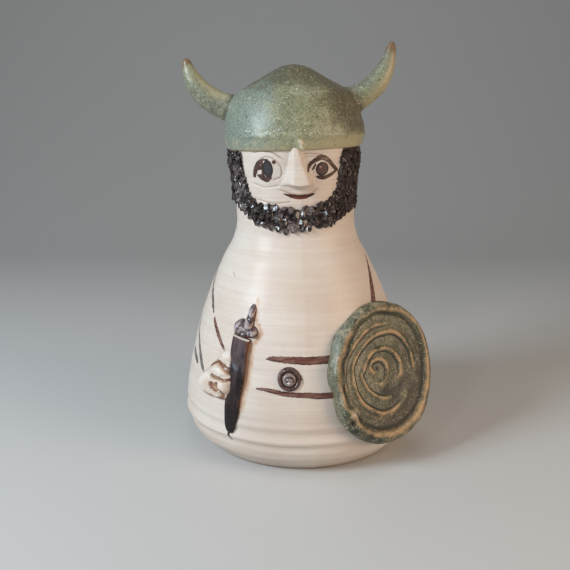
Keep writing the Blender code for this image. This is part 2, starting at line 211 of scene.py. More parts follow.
def rooted(depth, skin):
    # a slab's root goes into the wall, and its skin stands out of it
    return np.where(depth < -0.5, -wallValues["rooted"], skin)


def placeOf(points):
    x = points[:, 0] - leanAt(points[:, 2])
    return np.degrees(np.arctan2(x, -points[:, 1])), points[:, 2], np.hypot(x, points[:, 1])


def fade(value, low, high):
    t = np.clip((value - low) / (high - low), 0.0, 1.0)
    return t * t * (3.0 - 2.0 * t)


def bell(value, width):
    return np.exp(-(value / width) ** 2)


def grain(points, size, shift=0.0):
    return np.array([noise.noise(Vector(point) / size + Vector((shift, -shift, shift))) for point in points])


def smoothRoute(route, steps=5):
    # more stops on a curve through the given ones
    stops = np.array(route, float)
    if len(stops) < 3:
        return stops
    run = np.concatenate(([0.0], np.cumsum(np.hypot(*np.diff(stops[:, :2], axis=0).T) + 0.01)))
    at = np.concatenate([np.linspace(a, b, steps, endpoint=False) for a, b in zip(run, run[1:])] + [run[-1:]])
    return np.stack([smoothCurve(list(zip(run, column)), at) for column in stops.T], -1)


def distanceTo(x, y, route):
    # millimetres to the edge of a stroke whose stops are x, y and half width, below zero inside it
    stops = smoothRoute(route)
    nearest = np.full(len(x), 99.0)
    pairs = list(zip(stops, stops[1:])) or [(stops[0], stops[0])]
    for (x0, y0, w0), (x1, y1, w1) in pairs:
        dx, dy = x1 - x0, y1 - y0
        t = np.clip(((x - x0) * dx + (y - y0) * dy) / max(dx * dx + dy * dy, 1e-9), 0.0, 1.0)
        nearest = np.minimum(nearest, np.hypot(x - x0 - t * dx, y - y0 - t * dy) - w0 - (w1 - w0) * t)
    return nearest


def strokeOnWall(azimuth, z, route):
    # the same for stops given as azimuth, height and half width
    perDegree = degreeAt(np.mean([stop[1] for stop in route]))
    return distanceTo(azimuth * perDegree, z, [(stop[0] * perDegree, stop[1], stop[2]) for stop in route])


def nearestOf(azimuth, z, routes):
    return np.minimum.reduce([strokeOnWall(azimuth, z, route) for route in routes])


# Finishing a mesh into a piece
def finishPiece(name, bm, finish, shape=None, crease=None):
    bmesh.ops.recalc_face_normals(bm, faces=bm.faces[:])
    mesh = bpy.data.meshes.new(name)
    bm.to_mesh(mesh)
    bm.free()
    points = np.empty(len(mesh.vertices) * 3, np.float32)
    mesh.vertices.foreach_get("co", points)
    points = points.reshape(-1, 3).astype(float)
    fields = {}
    if shape:
        points, fields = shape(points)
    mesh.vertices.foreach_set("co", (points * mm).astype(np.float32).ravel())
    for field, values in fields.items():
        mesh.attributes.new(field, "FLOAT", "POINT").data.foreach_set("value", values.astype(np.float32))
    mesh.update()
    mesh.materials.append(finish)
    mesh.shade_smooth()
    if crease:
        mesh.set_sharp_from_angle(angle=math.radians(crease))
    piece = bpy.data.objects.new(name, mesh)
    bpy.context.scene.collection.objects.link(piece)
    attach(piece, "root")
    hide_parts("viking_figurine")
    mesh.calc_loop_triangles()
    print(f"{name}: {len(mesh.loop_triangles)} triangles")


# Node helpers for the finishes
def addNode(tree, kind, inputs=None, **settings):
    made = tree.nodes.new(kind)
    for key, value in settings.items():
        setattr(made, key, value)
    for key, value in (inputs or {}).items():
        if isinstance(value, bpy.types.NodeSocket):
            tree.links.new(value, made.inputs[key])
        else:
            made.inputs[key].default_value = value
    return made


def mottle(tree, size, detail=3.0, stretch=(1.0, 1.0, 1.0), shift=0.0, rough=0.55):
    # noise on object coordinates, its size in millimetres
    where = addNode(tree, "ShaderNodeTexCoord").outputs["Object"]
    mapped = addNode(tree, "ShaderNodeMapping", {
        "Vector": where, "Scale": stretch, "Location": (shift, shift, shift)})
    made = addNode(tree, "ShaderNodeTexNoise", {
        "Vector": mapped.outputs["Vector"], "Scale": 1000.0 / size, "Detail": detail, "Roughness": rough})
    return made.outputs["Fac"]


def specks(tree, size, cover, soft=0.03, shift=0.0):
    # round specks, where cover is how much of the noise they take
    where = addNode(tree, "ShaderNodeTexCoord").outputs["Object"]
    mapped = addNode(tree, "ShaderNodeMapping", {"Vector": where, "Location": (shift, shift, shift)})
    made = addNode(tree, "ShaderNodeTexVoronoi", {"Vector": mapped.outputs["Vector"], "Scale": 1000.0 / size})
    return ranged(tree, made.outputs["Distance"], cover, cover - soft)


def field(tree, name):
    return addNode(tree, "ShaderNodeAttribute", attribute_name=name).outputs["Fac"]


def ranged(tree, value, low, high, toLow=0.0, toHigh=1.0):
    return addNode(tree, "ShaderNodeMapRange", {
        "Value": value, "From Min": low, "From Max": high, "To Min": toLow, "To Max": toHigh},
        interpolation_type="SMOOTHSTEP").outputs["Result"]


def calc(tree, operation, a, b):
    return addNode(tree, "ShaderNodeMath", {0: a, 1: b}, operation=operation).outputs["Value"]


def blend(tree, factor, a, b):
    made = addNode(tree, "ShaderNodeMix", data_type="RGBA")
    for index, value in ((0, factor), (6, a), (7, b)):
        if isinstance(value, bpy.types.NodeSocket):
            tree.links.new(value, made.inputs[index])
        else:
            made.inputs[index].default_value = value if index == 0 else (*value[:3], 1.0)
    return made.outputs[2]


def overlay(tree, tone, value, low, high, share, colour):
    # lays that share of a colour over the tone where the value goes from low to high
    return blend(tree, ranged(tree, value, low, high, 0.0, share), tone, colour)


def bumped(tree, height, distance, strength, before=None):
    made = addNode(tree, "ShaderNodeBump", {
        "Height": height, "Distance": distance * mm, "Strength": strength})
    if before:
        tree.links.new(before, made.inputs["Normal"])
    return made.outputs["Normal"]


def newFinish(name, specular, coat, coatRough):
    # these three are fixed, because a link to them would be lost in the export
    material = bpy.data.materials.new(name)
    material.use_nodes = True
    shader = material.node_tree.nodes["Principled BSDF"]
    shader.inputs["Specular IOR Level"].default_value = specular
    shader.inputs["Coat Weight"].default_value = coat
    shader.inputs["Coat Roughness"].default_value = coatRough
    return material, material.node_tree, shader


def wire(tree, shader, tone, rough, normal):
    for socket, value in (("Base Color", tone), ("Roughness", rough), ("Normal", normal)):
        tree.links.new(value, shader.inputs[socket])


# Painted and pressed marks on the wall: azimuth, height and half width of each stop
bodyValues = {
    "turnSteps": 360,
    "rowHeight": 0.9,
    "topHeight": 168.0,
    "face": (62.0, 124.0, 160.5),        # half width in degrees, lowest and highest height of the finer mesh
    "ridges": [                          # height, how far it stands out, half width
        (18.2, 0.85, 1.3), (15.0, -0.50, 1.5), (25.8, 0.35, 1.5), (22.6, -0.55, 1.4), (8.3, 0.40, 1.0),
        (33.0, 0.12, 2.0), (45.0, 0.22, 3.0), (52.0, -0.08, 1.2), (63.0, 0.08, 1.0), (71.0, 0.12, 2.0),
        (80.0, -0.10, 1.5), (88.0, 0.10, 2.0), (97.0, -0.12, 1.4), (104.0, 0.12, 2.0), (115.0, -0.14, 1.6),
    ],
    "nose": {                            # the ridge runs down to the right, so its left flank is broad
        "azimuth": 1.2, "top": 162.4, "height": 21.6, "depth": 7.0, "slant": 10.2,
        "left": (5.0, 25.5), "right": (3.4, 8.6),
        "front": 0.42,                   # the share of the left half that faces forward
    },
    "belt": [
        [(-15.6, 59.0, 0.35), (-13.6, 59.3, 1.0), (-9.0, 59.2, 1.5), (-2.3, 59.0, 1.75), (6.0, 58.7, 1.85),
         (17.0, 58.8, 1.95), (30.0, 58.8, 1.9)],
        [(-20.3, 44.4, 0.3), (-17.5, 44.5, 0.7), (-12.5, 44.2, 1.05), (-7.0, 43.2, 1.15), (-2.0, 42.7, 1.25),
         (5.0, 42.5, 1.4), (11.0, 41.9, 1.5), (20.0, 41.8, 1.5), (30.0, 41.8, 1.4)],
    ],
    "arms": [
        [(-56.6, 73.2, 0.5), (-55.2, 71.9, 0.95), (-50.1, 67.3, 1.2), (-45.6, 63.1, 1.1), (-42.3, 59.9, 0.7)],
        [(57.0, 81.0, 2.1), (61.5, 88.0, 1.75), (66.8, 93.6, 1.35), (71.9, 98.4, 1.0), (76.0, 103.0, 0.4)],
    ],
    "faintArms": [
        [(-92.0, 96.5, 0.3), (-82.0, 91.0, 0.9), (-71.8, 84.0, 1.1), (-65.2, 79.9, 1.2), (-59.0, 75.3, 0.8)],
        [(-84.0, 69.5, 0.5), (-73.9, 60.4, 1.1), (-68.8, 56.3, 1.4), (-64.4, 52.1, 1.5), (-60.0, 47.9, 1.4),
         (-56.7, 45.2, 0.8)],
        [(-80.0, 51.2, 0.8), (-74.4, 49.8, 1.5), (-68.9, 48.3, 1.5), (-65.7, 47.0, 0.8)],
    ],
    "drip": [[(-33.6, 20.4, 0.9), (-34.1, 18.6, 0.75), (-33.8, 16.9, 0.8), (-33.4, 15.6, 0.6)]],
    "buttonTail": [[(1.8, 52.0, 0.5), (2.5, 50.0, 0.55), (2.8, 48.0, 0.35)]],
    "lids": [
        [(-38.4, 145.3, 1.0), (-36.0, 148.5, 1.35), (-32.4, 151.4, 1.25), (-28.4, 153.3, 0.75),
         (-23.0, 153.7, 0.4)],
        [(-34.2, 145.7, 0.6), (-30.0, 144.4, 1.15), (-25.3, 143.6, 1.15), (-21.6, 144.8, 0.9)],
        [(-28.4, 152.2, 0.7), (-28.7, 149.0, 0.75), (-28.3, 146.2, 0.7), (-26.6, 144.6, 0.6)],
        [(-32.4, 151.4, 0.9), (-31.6, 149.2, 0.95), (-33.9, 149.0, 0.8)],
        [(-33.0, 145.5, 0.7), (-29.8, 145.4, 0.95), (-28.2, 147.2, 0.8)],
        [(-17.4, 152.4, 0.95)],
        [(11.3, 148.2, 0.6), (12.6, 150.7, 0.9), (15.9, 152.6, 0.95), (19.7, 153.9, 1.1), (23.4, 154.8, 1.3),
         (27.6, 154.1, 1.25), (31.6, 152.5, 1.1), (35.2, 150.5, 0.95), (40.0, 148.4, 0.9)],
        [(16.0, 149.0, 0.5), (18.0, 151.2, 0.55)],
        [(20.4, 145.3, 0.7), (25.3, 144.7, 1.0), (30.6, 145.4, 1.0), (36.0, 146.8, 0.8), (39.4, 148.3, 0.7)],
    ],
    "irisLeft": (-23.3, 149.0, 2.75, 4.35),      # azimuth, height, half width, half height
    "irisRight": (24.6, 149.1, 3.45, 3.45),
    "glintRight": (22.9, 150.0, 0.65),
    "lips": [[(-10.2, 137.0, 0.15), (-6.4, 136.4, 0.6), (-1.0, 135.7, 1.0), (4.2, 135.3, 1.1),
              (10.5, 135.7, 0.95), (15.4, 136.5, 0.6), (19.0, 137.3, 0.15)]],
    "lipCore": [[(-3.0, 135.3, 0.1), (1.5, 134.9, 0.4), (6.0, 134.8, 0.45), (11.5, 135.4, 0.1)]],
    "pressed": [                                 # thin lines scored into the clay
        [(-12.9, 138.8, 0.1), (-7.8, 137.9, 0.2), (-1.5, 136.9, 0.25), (6.3, 136.5, 0.25),
         (12.6, 136.8, 0.25), (17.4, 138.0, 0.2), (21.2, 139.8, 0.1)],
        [(-29.0, 154.0, 0.2), (-24.2, 154.9, 0.2), (-19.1, 154.3, 0.2), (-14.6, 152.4, 0.2),
         (-11.5, 149.8, 0.2), (-10.9, 147.1, 0.2), (-13.4, 144.8, 0.2), (-18.4, 143.8, 0.2)],
        [(-37.0, 156.6, 0.1), (-28.3, 157.6, 0.2), (-20.4, 157.3, 0.25), (-12.5, 155.2, 0.2),
         (-9.4, 153.8, 0.1)],
        [(-17.8, 156.6, 0.1), (-12.3, 154.6, 0.1)],
        [(7.6, 156.5, 0.1), (15.2, 156.6, 0.15), (24.0, 156.0, 0.1)],
        [(9.0, 155.2, 0.1), (20.0, 155.4, 0.1)],
        [(-40.0, 141.6, 0.1), (-28.0, 139.8, 0.15), (-15.0, 140.9, 0.1)],
        [(-36.0, 133.6, 0.1), (-20.0, 132.0, 0.15), (-4.0, 133.0, 0.1)],
        [(-53.0, 96.5, 0.1), (-49.5, 95.2, 0.25), (-48.0, 94.2, 0.1)],
    ],
    "stainAndShadow": [                                   # iron that bled out of the sword's glaze, partly a painted shadow right of the blade and guard
        [(-24.6, 86.0, 0.3), (-24.2, 83.6, 0.7), (-23.9, 79.0, 0.7), (-22.8, 75.2, 0.7), (-20.9, 73.0, 0.9),
         (-19.9, 70.0, 0.9), (-21.6, 67.4, 0.9), (-24.0, 64.0, 1.0), (-24.4, 54.0, 1.0), (-25.0, 47.0, 0.9),
         (-26.0, 39.7, 0.8), (-28.0, 29.0, 0.3)],
    ],
    "specks": [(9.6, 80.4, 0.30), (13.9, 34.6, 0.32), (-6.5, 33.2, 0.25), (-4.0, 31.6, 0.25),
               (1.6, 81.5, 0.2)],
}


def slipFinish():
    # white slip under a thin clear glaze, with painted iron brown
    material, tree, shader = newFinish("whiteSlip", 0.4, 0.12, 0.25)
    streaks = mottle(tree, 26.0, 4.0, (0.25, 0.25, 14.0))
    fine = mottle(tree, 9.0, 5.0, (0.2, 0.2, 16.0), 3.0)
    cloud = mottle(tree, 34.0, 4.0)
    grit = mottle(tree, 0.9, 2.0)
    tone = blend(tree, ranged(tree, cloud, 0.35, 0.66), (0.62, 0.515, 0.430), (0.67, 0.590, 0.520))
    tone = overlay(tree, tone, streaks, 0.38, 0.70, 0.32, (0.56, 0.450, 0.37))
    tone = overlay(tree, tone, fine, 0.50, 0.74, 0.30, (0.71, 0.655, 0.60))
    tone = overlay(tree, tone, grit, 0.60, 0.80, 0.35, (0.46, 0.37, 0.29))
    tone = overlay(tree, tone, field(tree, "bareClay"), 0.0, 1.0, 0.8, (0.42, 0.30, 0.20))
    spotted = ranged(tree, mottle(tree, 9.0, 2.0, shift=9.0), 0.52, 0.6)
    iron = calc(tree, "MULTIPLY", specks(tree, 2.6, 0.10, 0.05, 5.0), spotted)
    tone = blend(tree, calc(tree, "MULTIPLY", iron, 0.75), tone, (0.22, 0.12, 0.08))
    # iron stain beside the sword, partly a painted shadow cast to the right of the blade and guard
    bleedAndShadow = calc(tree, "ADD", field(tree, "stainAndShadow"), ranged(tree, mottle(tree, 3.4), 0.3, 0.7, -0.5, 0.5))
    tone = overlay(tree, tone, bleedAndShadow, 1.5, -0.3, 0.65, (0.54, 0.34, 0.20))
    tone = overlay(tree, tone, bleedAndShadow, 0.3, -0.8, 0.60, (0.36, 0.18, 0.085))
    pressed = ranged(tree, field(tree, "pressed"), 0.34, 0.0)
    tone = blend(tree, calc(tree, "MULTIPLY", pressed, 0.62), tone, (0.30, 0.175, 0.115))

    wobble = ranged(tree, mottle(tree, 1.3, 3.0), 0.25, 0.75, -0.17, 0.17)
    brushed = mottle(tree, 3.0, 4.0, (0.5, 0.5, 2.6), 2.0)
    covers = []
    for name, size, dark, light, dry in (
            ("greyBrown", 1.0, (0.050, 0.036, 0.032), (0.140, 0.112, 0.100), (0.26, 0.22, 0.20)),
            ("brown", 1.0, (0.038, 0.013, 0.010), (0.130, 0.046, 0.033), (0.270, 0.150, 0.115)),
            ("dark", 0.8, (0.020, 0.010, 0.008), (0.060, 0.023, 0.017), (0.115, 0.050, 0.036)),
            ("lips", 0.6, (0.030, 0.011, 0.008), (0.060, 0.018, 0.012), (0.080, 0.026, 0.017)),
            ("lipCore", 0.6, (0.140, 0.032, 0.020), (0.190, 0.045, 0.028), (0.190, 0.060, 0.040))):
        edge = calc(tree, "ADD", field(tree, name), calc(tree, "MULTIPLY", wobble, size))
        cover = ranged(tree, edge, 0.10, -0.10)
        paint = blend(tree, ranged(tree, edge, -0.20, -0.85), dark, light)
        paint = overlay(tree, paint, brushed, 0.42, 0.64, 0.75, dry)
        tone = blend(tree, cover, tone, paint)
        covers.append(cover)
    iris = calc(tree, "ADD", field(tree, "iris"), calc(tree, "MULTIPLY", wobble, 0.5))
    irisCover = ranged(tree, iris, 0.06, -0.06)
    middle = blend(tree, field(tree, "irisTone"), (0.036, 0.033, 0.037), (0.082, 0.043, 0.034))
    irisPaint = blend(tree, ranged(tree, iris, -0.45, -1.2), (0.022, 0.011, 0.009), middle)
    tone = blend(tree, irisCover, tone, irisPaint)
    glint = ranged(tree, field(tree, "glint"), 0.15, -0.15)
    tone = blend(tree, calc(tree, "MULTIPLY", glint, 0.8), tone, (0.36, 0.22, 0.17))

    painted = irisCover
    for cover in covers:
        painted = calc(tree, "MAXIMUM", painted, cover)
    rough = ranged(tree, painted, 0.0, 1.0, 0.48, 0.34)
    normal = bumped(tree, streaks, 0.42, 0.6)
    normal = bumped(tree, fine, 0.16, 0.6, normal)
    normal = bumped(tree, grit, 0.05, 0.5, normal)
    normal = bumped(tree, painted, 0.12, 0.8, normal)
    wire(tree, shader, tone, rough, normal)
    return material


def ovalDistance(azimuth, z, oval):
    middle, height, halfWidth, halfHeight = oval
    x = (azimuth - middle) * degreeAt(height) / halfWidth
    y = (z - height) / halfHeight
    return (np.hypot(x, y) - 1.0) * min(halfWidth, halfHeight)


def noseRelief(azimuth, z):
    values = bodyValues["nose"]
    t = np.clip((values["top"] - z) / values["height"], 0.0, 1.08)
    down = np.minimum(t, 1.0)
    side = azimuth - values["azimuth"] - values["slant"] * down ** 1.25
    left = values["left"][0] + (values["left"][1] - values["left"][0]) * down ** 1.6
    right = values["right"][0] + (values["right"][1] - values["right"][0]) * down
    across = np.clip(np.where(side < 0, -side / left, side / right), 0.0, 1.0)
    pinched = fade(1.0 - across, 0.0, 1.0 - values["front"]) * (1.0 - 0.22 * across)
    flank = np.where(side < 0, pinched, 1.0 - across)
    ridge = 1.0 - np.sqrt((1.0 - flank) ** 2 + 0.016) + 0.008       # a thumb has softened the ridge
    under = fade(1.06 - t - 0.03 * np.sin(0.25 * side), 0.0, 0.12)
    return values["depth"] * (0.24 + 0.76 * down ** 1.15) * under * np.maximum(ridge, 0.0)


def shapeBody(points):
    azimuth, z, radius = placeOf(np.column_stack([points[:, 0] + leanAt(points[:, 2]), points[:, 1:]]))
    onSkin = (z > 0.5) & (z < 165.0)
    out = sum(height * bell(z - at, width) for at, height, width in bodyValues["ridges"])
    out += 0.10 * grain(np.column_stack([points[:, :2] * 0.05, z * 0.9]), 1.0)
    out += 0.28 * grain(points, 26.0, 4.0)
    out *= fade(z, 0.5, 6.0) * fade(z, 167.0, 158.0)
    pressed = nearestOf(azimuth, z, bodyValues["pressed"])
    out -= 0.30 * bell(np.maximum(pressed, 0.0), 0.30)
    out += noseRelief(azimuth, z)
    for oval in (bodyValues["irisLeft"], bodyValues["irisRight"]):
        out += 0.35 * fade(ovalDistance(azimuth, z, oval), 2.5, -1.5)
    lips = nearestOf(azimuth, z, bodyValues["lips"])
    out -= 0.35 * fade(lips, 0.3, -0.7)
    scale = 1.0 + np.where(onSkin, out, 0.0) / np.maximum(radius, 1.0)
    shaped = np.column_stack([points[:, 0] * scale + leanAt(z), points[:, 1] * scale, z])
    dark = np.minimum(nearestOf(azimuth, z, bodyValues["lids"]), nearestOf(azimuth, z, bodyValues["drip"]))
    for at, height, size in bodyValues["specks"]:
        dark = np.minimum(dark, strokeOnWall(azimuth, z, [(at, height, size)]))
    left = ovalDistance(azimuth, z, bodyValues["irisLeft"])
    right = ovalDistance(azimuth, z, bodyValues["irisRight"])
    brown = nearestOf(azimuth, z, bodyValues["belt"] + bodyValues["arms"] + bodyValues["buttonTail"])
    front = np.abs(azimuth) < 110.0
    fields = {
        "brown": np.where(front, brown, 9.0),
        "greyBrown": nearestOf(azimuth, z, bodyValues["faintArms"]),
        "dark": np.where(front, dark, 9.0),
        "iris": np.minimum(left, right),
        "irisTone": (azimuth > 0).astype(float),
        "glint": strokeOnWall(azimuth, z, [bodyValues["glintRight"]]),
        "lips": lips,
        "lipCore": nearestOf(azimuth, z, bodyValues["lipCore"]),
        "pressed": pressed,
        # iron stain beside the sword, partly painted shadow
        "stainAndShadow": nearestOf(azimuth, z, bodyValues["stainAndShadow"]),
        "bareClay": fade(z, 3.2, 0.4),
    }
    return shaped, fields


def makeBody():
    top = bodyValues["topHeight"]
    heights = np.linspace(0.45, top, round(top / bodyValues["rowHeight"]))
    profile = [(0.0, 0.0), (25.0, 0.0), (50.4, 0.0)]
    profile += [(float(wallRadius(height)), float(height)) for height in heights] + [(0.0, top)]
    bm = turned(profile, bodyValues["turnSteps"])
    halfWidth, low, high = bodyValues["face"]

    def inFace(vertex):
        azimuth = math.degrees(math.atan2(vertex.co.x, -vertex.co.y))
        return low < vertex.co.z < high and abs(azimuth) < halfWidth

    finer = [edge for edge in bm.edges if inFace(edge.verts[0]) and inFace(edge.verts[1])]
    bmesh.ops.subdivide_edges(bm, edges=finer, cuts=1, use_grid_fill=True)
    finishPiece("thrown_body", bm, slipFinish(), shapeBody)


# Helmet and horns
helmetValues = {
    "radius": 36.6,
    "rimRadius": 35.0,
    "stations": [            # height, share of the radius
        (158.0, 0.957), (160.6, 0.982), (164.0, 1.0), (168.0, 0.994), (173.0, 0.958), (178.4, 0.905),
        (184.0, 0.828), (187.0, 0.748), (190.0, 0.618), (193.0, 0.468), (196.0, 0.325), (198.6, 0.180),
        (200.0, 0.0),
    ],
    "rimTilt": 1.8,          # degrees, higher at the right
    "turnSteps": 180,
    "hornSteps": 28,
    "hornRings": 40,
    "horns": [               # side, root height, reach, rise, thickness
        (-1, 176.3, 26.7, 26.6, 6.6),
        (1, 180.5, 23.6, 30.5, 6.2),
    ],
    "hornPulls": [(0.60, 0.16), (0.92, 0.43)],
    "hornTip": 1.5,
    "hornFullness": 2.9,
    "hornSeat": 5.5,
    "voxel": 0.55,
    "fillet": 11.0,
    "smoothings": 14,
}


def helmetRadius(z):
    return smoothCurve(helmetValues["stations"], z) * helmetValues["radius"]


def hornLine(side, rootHeight, reach, rise, t):
    root = np.array([side * (float(helmetRadius(rootHeight)) - helmetValues["hornSeat"]), 0.0, rootHeight])
    ends = [root] + [root + np.array([side * out * reach, 0.0, up * rise])
                     for out, up in (*helmetValues["hornPulls"], (1.0, 1.0))]
    weights = ((1 - t) ** 3, 3 * t * (1 - t) ** 2, 3 * t ** 2 * (1 - t), t ** 3)
    slopes = (3 * (1 - t) ** 2, 6 * t * (1 - t), 3 * t ** 2)
    centre = sum(w[:, None] * end for w, end in zip(weights, ends))
    along = sum(w[:, None] * (b - a) for w, a, b in zip(slopes, ends, ends[1:]))
    return centre, along / np.linalg.norm(along, axis=1)[:, None]


def addHorn(bm, side, rootHeight, reach, rise, thickness):
    # a straight closed tube of unit radius, then bent along the horn's line
    ring = bmesh.ops.create_circle(bm, cap_ends=True, radius=1.0, segments=helmetValues["hornSteps"])["verts"]
    made = list(ring)
    edges = list({edge for vertex in ring for edge in vertex.link_edges})
    rings = helmetValues["hornRings"]
    for _ in range(rings):
        moved, edges = sweepEdges(bm, edges, (0, 0, 1.0 / rings))
        made += moved
    bmesh.ops.holes_fill(bm, edges=edges, sides=0)
    points = np.array([vertex.co for vertex in made])
    t = np.clip(points[:, 2], 0.0, 1.0)
    centre, along = hornLine(side, rootHeight, reach, rise, t)
    tip = helmetValues["hornTip"]
    radius = tip + (thickness - tip) * (1.0 - t ** helmetValues["hornFullness"])
    radius = radius * np.where(t > 0.985, np.sqrt(np.clip((1.0 - t) / 0.015, 0.12, 1.0)), 1.0)
    radius += 1.6 * bell(t * reach * 1.6, 6.0)
    across = np.cross(np.array([0.0, 1.0, 0.0]), along)
    bent = centre + radius[:, None] * (points[:, :1] * across + points[:, 1:2] * np.array([0.0, 1.0, 0.0]))
    for vertex, place in zip(made, bent):
        vertex.co = place


# the darkest tone serves pooled glaze and painted shade; the cool tone serves the glaze's tint and a painted
# reflection
helmetTones = {
    "deep": (0.180, 0.190, 0.104), "light": (0.310, 0.315, 0.195), "coolTintAndSheen": (0.195, 0.230, 0.190),
    "fine": (0.070, 0.074, 0.034), "earth": (0.210, 0.178, 0.094), "umber": (0.082, 0.064, 0.036),
    "thin": (0.390, 0.350, 0.210), "rust": (0.170, 0.098, 0.044), "cream": (0.74, 0.72, 0.56),
    "dust": (0.40, 0.42, 0.30), "poolAndShade": (0.030, 0.030, 0.022), "bare": (0.66, 0.60, 0.52),
}
shieldTones = {
    "deep": (0.056, 0.058, 0.030), "light": (0.155, 0.150, 0.088), "coolTintAndSheen": (0.195, 0.215, 0.170),
    "fine": (0.025, 0.026, 0.015), "earth": (0.130, 0.084, 0.042), "umber": (0.052, 0.033, 0.024),
    "thin": (0.400, 0.310, 0.185), "rust": (0.440, 0.285, 0.148), "cream": (0.50, 0.50, 0.38),
    "dust": (0.33, 0.34, 0.23), "poolAndShade": (0.016, 0.017, 0.011), "bare": (0.60, 0.54, 0.45),
}


def glazeFinish(name, tones, speckSize):
    # speckled green glaze, tan where it runs thin over edges and dark where it pools; the dark also lays
    # painted shade, and the cool tint a painted reflection
    material, tree, shader = newFinish(name, 0.45, 0.22, 0.30)
    cloud = mottle(tree, 22.0, 4.0)
    patches = mottle(tree, 8.0, 4.0, shift=7.0)
    fine = mottle(tree, 1.1, 3.0, shift=3.0)
    crumbs = mottle(tree, 2.4, 4.0, shift=5.0)
    coarse = ranged(tree, patches, 0.3, 0.7, -0.20, 0.20)
    drift = calc(tree, "ADD", coarse, ranged(tree, crumbs, 0.3, 0.7, -0.16, 0.16))

    def drifted(mark):
        return calc(tree, "ADD", field(tree, mark), drift)

    tone = blend(tree, ranged(tree, cloud, 0.36, 0.64), tones["deep"], tones["light"])
    tone = overlay(tree, tone, crumbs, 0.44, 0.66, 0.55, tones["earth"])
    # cool blue-green: partly the glaze's own tint, partly a painted reflection of the cool light from the
    # left
    tone = overlay(tree, tone, drifted("coolTintAndSheen"), 0.1, 0.9, 1.0, tones["coolTintAndSheen"])
    tone = overlay(tree, tone, drifted("umber"), 0.1, 0.9, 0.8, tones["umber"])
    tone = overlay(tree, tone, fine, 0.48, 0.68, 0.65, tones["fine"])
    small = calc(tree, "MULTIPLY", specks(tree, 1.15, 0.34, 0.12, 6.0), ranged(tree, crumbs, 0.38, 0.58))
    tone = blend(tree, calc(tree, "MULTIPLY", small, 0.8), tone, tones["dust"])
    tone = overlay(tree, tone, drifted("thin"), 0.20, 0.95, 0.92, tones["thin"])
    tone = overlay(tree, tone, drifted("rust"), 0.15, 1.05, 0.95, tones["rust"])
    scattered = ranged(tree, mottle(tree, 5.0, 2.0, shift=11.0), 0.35, 0.7, -0.35, 0.35)
    dusted = ranged(tree, calc(tree, "ADD", field(tree, "dusted"), scattered), 0.25, 0.75)
    cream = calc(tree, "MULTIPLY", specks(tree, speckSize, 0.30, 0.12, 2.0), dusted)
    tone = blend(tree, calc(tree, "MULTIPLY", cream, 0.8), tone, tones["cream"])
    darkSpots = calc(tree, "MULTIPLY", specks(tree, 4.4, 0.12, 0.06, 15.0), ranged(tree, patches, 0.42, 0.52))
    tone = blend(tree, calc(tree, "MULTIPLY", darkSpots, 0.8), tone, (0.045, 0.035, 0.030))
    # dark pooled glaze, with painted shade in hollows and under the right horn
    tone = overlay(tree, tone, drifted("poolAndShade"), 0.25, 0.85, 0.92, tones["poolAndShade"])
    tone = overlay(tree, tone, field(tree, "bare"), 0.4, 0.7, 1.0, tones["bare"])
    rough = ranged(tree, patches, 0.3, 0.7, 0.40, 0.54)
    normal = bumped(tree, patches, 0.65, 0.5)
    normal = bumped(tree, crumbs, 0.24, 0.6, normal)
    normal = bumped(tree, fine, 0.10, 0.7, normal)
    normal = bumped(tree, cream, 0.10, 0.6, normal)
    wire(tree, shader, tone, rough, normal)
    return material


